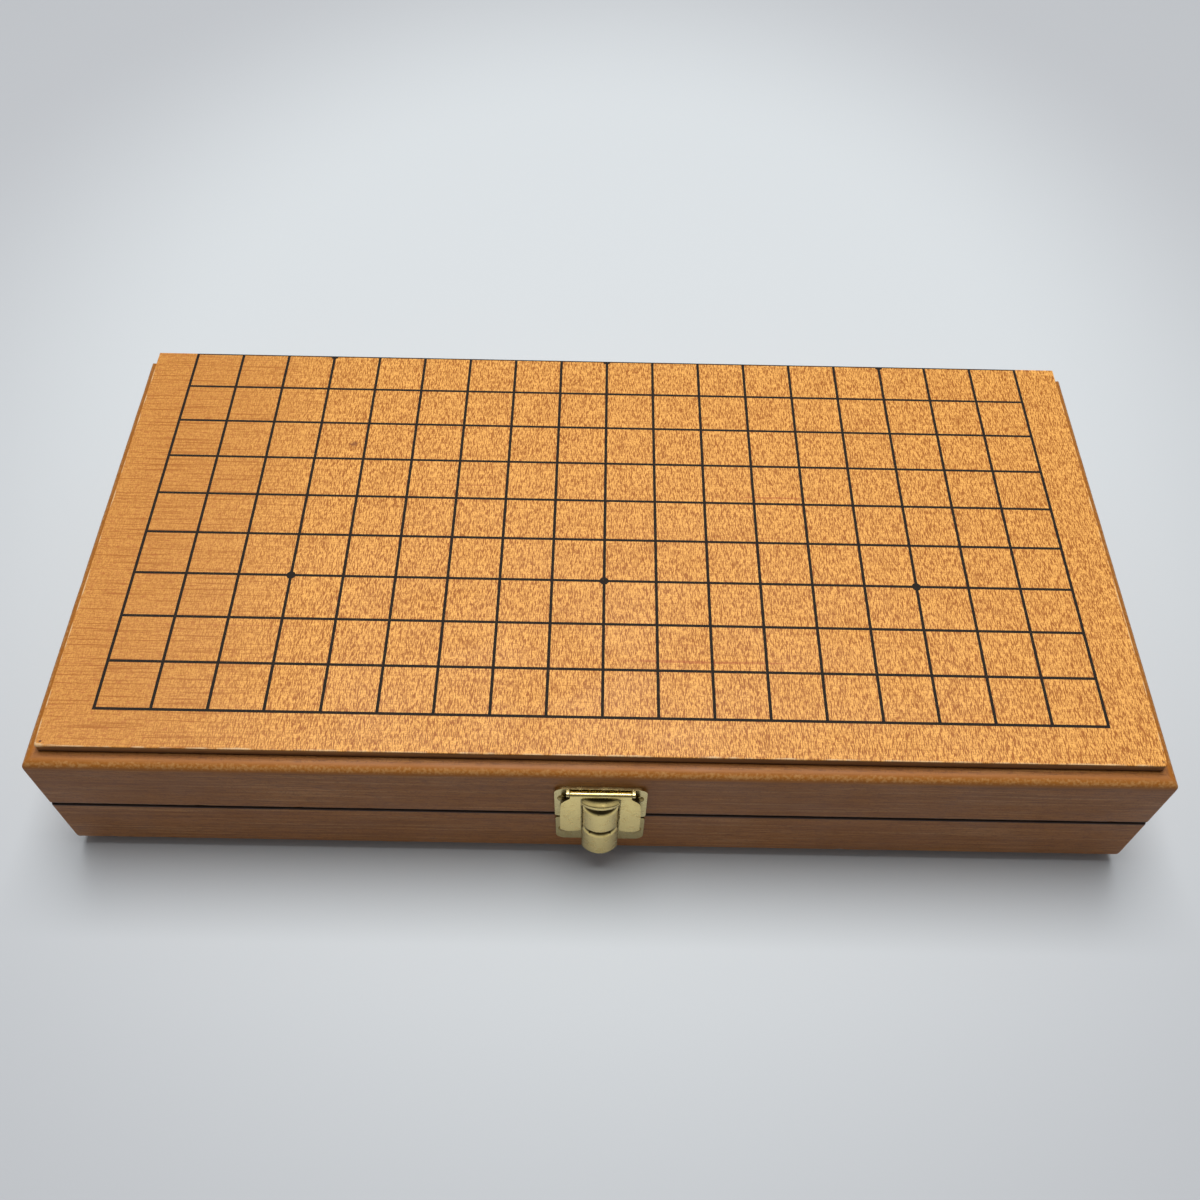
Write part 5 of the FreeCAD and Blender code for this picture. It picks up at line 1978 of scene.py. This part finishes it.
    def tongue_mesh(self) -> bpy.types.Mesh:
        """The tongue's front surface as a fine grid, finest at its top.

        Returns:
            The mesh, with painted shade in its grooves and over its top.
        """
        columns, rows = self.tongue_columns, self.tongue_rows
        half = self.tongue_wide / 2
        corners, faces, shade_values = [], [], []
        for i in range(rows + 1):
            z = self.tongue_top + (self.tongue_low - self.tongue_top) * (i / rows) ** 1.3
            for j in range(columns + 1):
                x = half * (2 * j / columns - 1)
                out, wear_and_painted_light = self.tongue_surface(x, z)
                corners.append(at_latch(Vector((x, out, z))) * MM)
                shade_values.append(wear_and_painted_light)
        for i in range(rows):
            for j in range(columns):
                a = i * (columns + 1) + j
                faces.append((a, a + 1, a + columns + 2, a + columns + 1))
        mesh = bpy.data.meshes.new("dressed_latch_hasp_tongue")
        mesh.from_pydata(corners, [], faces)
        note_wear_and_painted_light(mesh, shade_values)
        return mesh

    def pressed_sheet(self, mesh: bpy.types.Mesh, thick: float, offset: float) -> None:
        """Give a bent surface its thickness and its cut edge.

        Args:
            mesh: the surface.
            thick: how thick the sheet is.
            offset: 0 for a middle surface, 1 for an outer one.
        """
        piece = in_scene(mesh)
        mesh.materials.append(self.brass.material())
        mesh.materials.append(CutEdgeAndShadow("cut_edge_and_shadow").material())
        tidy_normals(piece)
        if sum(face.normal.y * face.area for face in mesh.polygons) > 0:
            mesh.flip_normals()
        solid = piece.modifiers.new("sheet", "SOLIDIFY")
        solid.thickness = thick * MM
        solid.offset = -offset
        solid.use_even_offset = True
        # the rim and eased edges take the dark cut edge: the unplated edge, and a painted shadow
        # outline round the sheet
        solid.material_offset_rim = 1
        soften(piece, self.hasp_rim).material = 1
        settle(piece, "latch_hasp", "latch_brass", "latch_hasp")

    def cheeks(self) -> None:
        """The tongue's two cheeks, and the catch between them."""
        cheeks = Shell()
        half, foot = self.tongue_wide / 2, self.tongue_low + 0.1
        for start in (half - self.cheek_thick, -half):
            high = Vector((start + self.cheek_thick, self.cheek_front, self.cheek_top))
            cheeks.board(Vector((start, self.cheek_back, foot)), high, 0.2)
        wide, top = self.catch_wide / 2, -self.lip_low - self.catch_gap
        low = Vector((-wide, self.catch_back, top - self.catch_thick))
        cheeks.board(low, Vector((wide, self.catch_front, top)), 0.1)
        # the cheeks and catch are dark brass: painted shade in the slot beside the tongue
        made = cheeks.piece("dressed_latch_hasp_cheeks", [self.shade_brass], at_latch)
        settle(made, "latch_hasp", "latch_brass", "latch_hasp")

    def spring_line(self) -> list[Vector]:
        """The middle of the spring's wire: its turns round the pin, and its leg.

        Returns:
            Its points, in the latch frame.
        """
        coil = self.pin_radius + self.spring_gap + self.spring_wire
        points = []
        for i in range(self.spring_turns * self.spring_steps + 1):
            turn = 2 * math.pi * i / self.spring_steps
            x = (i / self.spring_steps - self.spring_turns / 2) * self.spring_pitch
            y, z = self.pin_out - coil * math.cos(turn), self.pin_high + coil * math.sin(turn)
            points.append(Vector((x, y, z)))
        return points + [points[-1] + Vector(step) for step in self.spring_leg]

    def spring(self) -> None:
        """The torsion spring on the pin."""
        name = "dressed_latch_spring"
        curve = bpy.data.curves.new("wire", "CURVE")
        curve.dimensions = "3D"
        curve.bevel_depth = self.spring_wire * MM
        curve.bevel_resolution = 3
        curve.use_fill_caps = True
        line = curve.splines.new("POLY")
        points = self.spring_line()
        line.points.add(len(points) - 1)
        for point, spot in zip(line.points, points):
            point.co = (*(at_latch(spot) * MM), 1)
        wire = in_scene(curve)
        graph = bpy.context.evaluated_depsgraph_get()
        mesh = bpy.data.meshes.new_from_object(wire.evaluated_get(graph))
        bpy.data.objects.remove(wire)
        mesh.name = name
        spring = in_scene(mesh)
        mesh.materials.clear()
        mesh.materials.append(DrawnSteel("drawn_steel").material())
        tidy_normals(spring)
        settle(spring, "upper_half", "spring_steel", "latch_spring")

    def build(self) -> None:
        """Make the whole latch."""
        self.plate()
        self.keeper()
        for half in Half:
            self.nails(half)
        self.pressed_sheet(self.hasp_sheet_mesh(), self.hasp_sheet, 0.0)
        self.pressed_sheet(self.tongue_mesh(), self.tongue_wall, 1.0)
        self.cheeks()
        steel_pin("latch_pin", "upper_half", self.pin_ends)
        self.spring()


# ---- studio ----------------------------------------------------------------------------------


@dataclass(frozen=True)
class PaleTable(Finish):
    """A pale, smooth table top with a painted falloff of light: brightest round the case and a little
    greyer further out.
    """

    base: str = "#D2D7DA"
    outer: str = "#BBBEC2"
    middle: Size = (0.0, 120.0, 0.0)
    reach: Size = (300.0, 340.0, 1000.0)

    def paint(self, surface: Surface) -> None:
        """Near-white, with a wide soft painted falloff of light.

        Args:
            surface: the material under way.
        """
        centre = tuple(m * MM for m in self.middle)
        away = surface.add("VectorMath", LESS, {0: surface.coords, 1: centre})
        reach = tuple(r * MM for r in self.reach)
        share = surface.add("VectorMath", {"operation": "DIVIDE"}, {0: away, 1: reach})
        length = surface.add("VectorMath", {"operation": "LENGTH"}, {0: share}).outputs["Value"]
        colour = surface.laid(linear(self.base), self.outer, length, (0.5, 1.05))
        surface.feed(surface.shader, {"Base Color": colour, "Roughness": 0.7})


@dataclass
class Studio:
    """Pale table, soft light from above and behind, and the camera."""

    camera_place: Size = (-2.809, -214.089, 324.773)
    camera_turn: Size = (35.2572, -0.8666, 0.7148)
    lens: float = 35.708
    sensor: float = 36.0
    nearest: float = 10.0
    table_side: float = 6000.0
    lamp_place: Size = (0.0, 340.0, 1700.0)
    lamp_side: float = 1050.0
    lamp_power: float = 30.0
    ceiling_side: float = 4000.0
    ceiling_high: float = 2300.0
    ceiling_power: float = 12.0
    sky: str = "#E9ECF2"
    sky_strength: float = 0.1

    def table(self) -> None:
        """The table top that the case lies on."""
        half = self.table_side / 2 * MM
        corners = [(-half, -half, 0), (half, -half, 0), (half, half, 0), (-half, half, 0)]
        mesh = bpy.data.meshes.new("table_top")
        mesh.from_pydata(corners, [], [(0, 1, 2, 3)])
        mesh.materials.append(PaleTable("pale_table").material())
        in_scene(mesh)

    def lights(self) -> None:
        """A large soft lamp, a wide weak one over it, and an even pale sky."""
        over = (0.0, 0.0, self.ceiling_high)
        for name, place, side, power in (
            ("soft_lamp", self.lamp_place, self.lamp_side, self.lamp_power),
            ("ceiling", over, self.ceiling_side, self.ceiling_power),
        ):
            lamp = bpy.data.lights.new(name, "AREA")
            lamp.energy = power
            lamp.shape = "SQUARE"
            lamp.size = side * MM
            held = in_scene(lamp)
            held.location = Vector(place) * MM
            held.rotation_euler = held.location.to_track_quat("Z", "Y").to_euler()
        world = bpy.data.worlds.new("pale_sky")
        world.use_nodes = True
        sky = world.node_tree.nodes["Background"]
        sky.inputs["Color"].default_value = linear(self.sky)
        sky.inputs["Strength"].default_value = self.sky_strength
        bpy.context.scene.world = world

    def camera(self) -> None:
        """The camera, above the front edge and looking down at the board."""
        eye = bpy.data.cameras.new("camera")
        eye.lens = self.lens
        eye.sensor_width = self.sensor
        eye.clip_start = self.nearest * MM
        held = in_scene(eye)
        held.location = Vector(self.camera_place) * MM
        held.rotation_euler = [math.radians(a) for a in self.camera_turn]
        bpy.context.scene.camera = held

    def build(self) -> None:
        """Set the stage."""
        self.table()
        self.lights()
        self.camera()
        bpy.context.scene.view_settings.view_transform = "Standard"


def main() -> None:
    """Build the whole object in order."""
    logging.basicConfig(level=logging.INFO, format="%(message)s")
    Studio().build()
    hinges = [ButtHinge("left"), ButtHinge("right")]
    for half in Half:
        BoardPlate(half).build()
        MitredFrame(half).build()
        Interior(half).build()
        StoneDrawer(half).build()
        HingeScrews(half, hinges).build()
    for hinge in hinges:
        hinge.build()
    SprungLatch().build()


if __name__ == "__main__":
    main()
